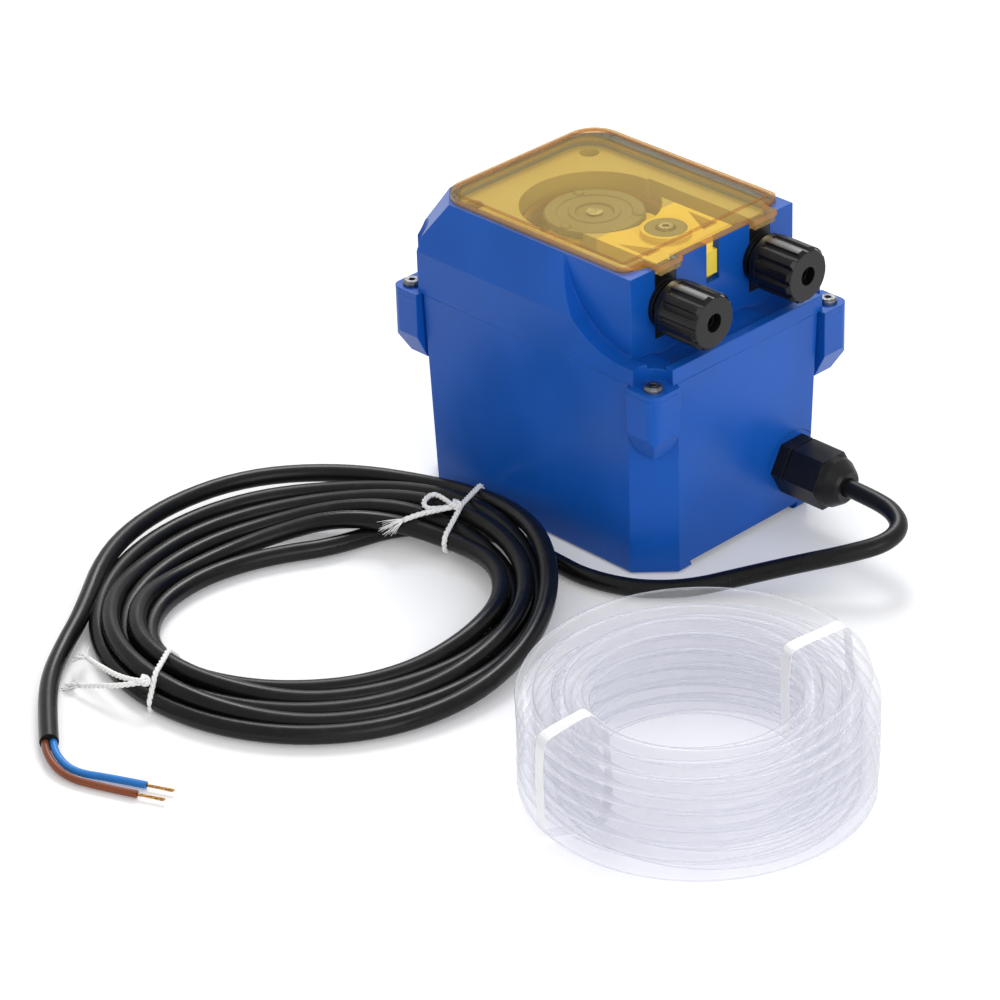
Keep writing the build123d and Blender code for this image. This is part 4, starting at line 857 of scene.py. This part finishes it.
def layTwine(bm, path, facts):
    path = evenly(path, facts["step"])
    for ply in range(facts["plies"]):
        laid = []
        for k, point, side, up in carryAxes(path):
            angle = 2 * math.pi * (ply / facts["plies"] + k * facts["step"] / facts["lay"])
            laid.append(point + (side * math.cos(angle) + up * math.sin(angle)) * facts["reach"])
        addTube(bm, laid, lambda u: facts["ply"], facts["sides"])


def frayEnd(bm, last, ahead, facts, seed):
    side = ahead.cross(Vector((0, 0, 1))).normalized()
    up = side.cross(ahead)
    for k in range(facts["fibres"]):      # each fibre has three uneven values of its own
        a, b, c = (math.sin(12.9898 * (k + 1) * (j + 1.3) + 4.1 * seed) for j in range(3))
        way = (ahead + side * a * facts["spread"] + up * b * facts["flat"] * facts["spread"]).normalized()
        least, more = facts["length"]
        long = facts["reach"] * (least + more * c)
        start = last + (side * b + up * a) * facts["root"]
        sideways, down = facts["droop"]
        droop = side * c * sideways - up * down
        path = [start + way * long * u + droop * long * u * u for u in facts["places"]]
        for point in path:
            point.z = max(point.z, facts["low"])
        thick, thinner = facts["taper"]
        addTube(bm, path, lambda u: facts["radius"] * (thick - thinner * u), facts["sides"])


def knotPath(facts, middle):
    for k in range(facts["knotSteps"] + 1):
        a = 2 * math.pi * k / facts["knotSteps"]
        yield middle + Vector((math.sin(a) + 2 * math.sin(2 * a), math.cos(a) - 2 * math.cos(2 * a),
                               facts["knotRise"] - math.sin(3 * a))) * facts["knot"]


def makeTies(facts, twine, fray):
    bm = bmesh.new()
    line = inMillimetres(curvePoints(leadPoints, 6))
    for n, tie in enumerate(facts):
        loop = roundTheSection(line, tie, leadFacts["diameter"] / 2 + twine["gap"], twine["low"])
        layTwine(bm, loop + [loop[0]], twine)
        layTwine(bm, list(knotPath(twine, Vector(tie["knot"]))), twine)
        if tie["bow"]:
            layTwine(bm, inMillimetres(curvePoints(tie["bow"], 10)), twine)
        for k, points in enumerate(tie["ends"]):
            path = inMillimetres(curvePoints(points, 10))
            layTwine(bm, path, twine)
            frayEnd(bm, path[-1], (path[-1] - path[-3]).normalized(), fray, 3 * n + k)
    return finishMesh(bm, "string_ties")


bandFacts = {"width": 4.6, "thick": 0.22, "wobble": 0.22, "wave": 0.31, "gap": 0.12, "low": 0.3, "step": 1.2,
             "ease": 7, "bow": 0.9, "lap": 12, "lapEase": 3, "lapRise": 1.15,
             "places": [{"middle": (-170.1, -143.9), "turn": 166.0, "span": 16},
                        {"middle": (-80.9, -166.1), "turn": -14.0, "span": 16}]}


def easeCorners(path, facts):             # the band is stiff, so it bows off the shoulders
    middle = sum(path, Vector()) / len(path)
    reach = facts["ease"]
    eased = []
    for k, point in enumerate(path):
        near = [path[(k + j) % len(path)] for j in range(-reach, reach + 1)]
        soft = sum(near, Vector()) / len(near)
        cut = (point - soft).length
        away = (soft - middle).normalized()
        eased.append(soft + away * cut * facts["bow"])
    for point in eased:
        point.z = max(point.z, facts["low"])
    return eased


def makeBands(facts):
    bm = bmesh.new()
    line = inMillimetres(curvePoints(hosePoints, 5))
    for n, band in enumerate(facts["places"]):
        hull = roundTheSection(line, band, hoseFacts["diameter"] / 2 + facts["gap"], facts["low"])
        centre = sum(hull, Vector()) / len(hull)
        path = easeCorners(evenly(hull + [hull[0]], facts["step"])[:-1], facts)
        path = path + path[:facts["lap"]]
        lapStart = len(path) - facts["lap"] - facts["lapEase"]
        angle = math.radians(band["turn"])
        across = Vector((-math.sin(angle), math.cos(angle), 0))
        rings = []
        for k, point in enumerate(path):
            out = aheadAt(path, k).cross(across).normalized()
            if out.dot(point - centre) < 0:
                out = -out
            lapped = min(1.0, max(0.0, (k - lapStart) / facts["lapEase"]))
            rise = facts["thick"] * facts["lapRise"] * lapped
            left, right = (facts["width"] / 2 + facts["wobble"] * math.sin(facts["wave"] * k + side + 2 * n)
                           for side in (0, 2))
            rings.append([bm.verts.new((point + across * x + out * (rise + y)) * mm) for x, y in
                          ((-left, 0), (right, 0), (right, facts["thick"]), (-left, facts["thick"]))])
        joinRings(bm, rings)
        capEnds(bm, rings)
    bmesh.ops.recalc_face_normals(bm, faces=bm.faces)
    return finishMesh(bm, "hose_straps")


ties = makeTies(tieFacts, twineFacts, frayFacts)
bands = makeBands(bandFacts)
standIn(ties, "housing", "tieFibre", "white_plastic", "cable_ties")
standIn(bands, "housing", "bandFilm", "white_plastic", "hose_bands")
print("pieces made")


# cords


standIn(lead, "housing", "cableBlack", "cable_black", "cable_lead", "cable_coil", "cable_tail")
for key, pieces in (("blue", [strands]), ("brown", ())):
    standIn(cores[key], "housing", "core" + key.capitalize(), f"core_{key}", f"{key}_core")
standIn(hose, "housing", "clearHose", "clear_hose", "hose_coil")
hoseLength = lengthOf(hosePoints)
print("cords declared, hose", round(hoseLength, 4), "lead", round(lengthOf(leadPoints), 4))


# floor, sky and lamps

stageFacts = {
    "floorSize": 12.0, "floorHeight": -0.0003, "floorColour": "#F4F4F5", "floorLift": 0.14, "sky": 0.7,
    "aim": (-0.05, 0.0, 0.04),
    "lamps": {
        "keyLamp": {"place": (0.9, 0.9, 1.5), "size": 0.9, "power": 22.0},
        "fillLamp": {"place": (-0.6, -1.8, 0.9), "size": 1.2, "power": 11.0},
    },
}


def makeStage(facts):
    half = facts["floorSize"] / 2
    mesh = bpy.data.meshes.new("floor")
    corners = [(-half, -half, 0), (half, -half, 0), (half, half, 0), (-half, half, 0)]
    mesh.from_pydata(corners, [], [(0, 1, 2, 3)])
    floor = addObject("floor", mesh)
    floor.location.z = facts["floorHeight"]
    material, tree, end = newMaterial("paleFloor")
    paper = addNode(tree, "BsdfDiffuse", None, {"Color": shade(facts["floorColour"])})
    seen = addNode(tree, "LightPath")
    mirrored = doMath(tree, "MAXIMUM", seen.outputs["Is Glossy Ray"], seen.outputs["Is Transmission Ray"])
    watched = doMath(tree, "MAXIMUM", seen.outputs["Is Camera Ray"], mirrored)
    glow = doMath(tree, "MULTIPLY", watched, facts["floorLift"])
    lift = addNode(tree, "Emission", None, {"Strength": glow})
    both = addNode(tree, "AddShader", None, {0: paper.outputs[0], 1: lift.outputs[0]})
    setInput(tree, end, "Surface", both.outputs[0])
    floor.data.materials.append(material)
    world = bpy.data.worlds.new("studio")
    world.use_nodes = True
    bpy.context.scene.world = world
    tree = world.node_tree
    tree.nodes.clear()
    path = addNode(tree, "LightPath")
    strength = doMath(tree, "MAXIMUM", path.outputs["Is Camera Ray"], facts["sky"])
    sky = addNode(tree, "Background", None, {"Color": (1.0, 1.0, 1.0), "Strength": strength})
    setInput(tree, addNode(tree, "OutputWorld"), "Surface", sky.outputs[0])
    for name, lamp in facts["lamps"].items():
        data = bpy.data.lights.new(name, "AREA")
        data.shape = "DISK"
        data.size = lamp["size"]
        data.energy = lamp["power"]
        light = addObject(name, data)
        place = Vector(lamp["place"])
        aim = Vector(facts["aim"]) - place
        light.matrix_world = Matrix.Translation(place) @ aim.to_track_quat("-Z", "Y").to_matrix().to_4x4()


makeStage(stageFacts)
print("stage set")
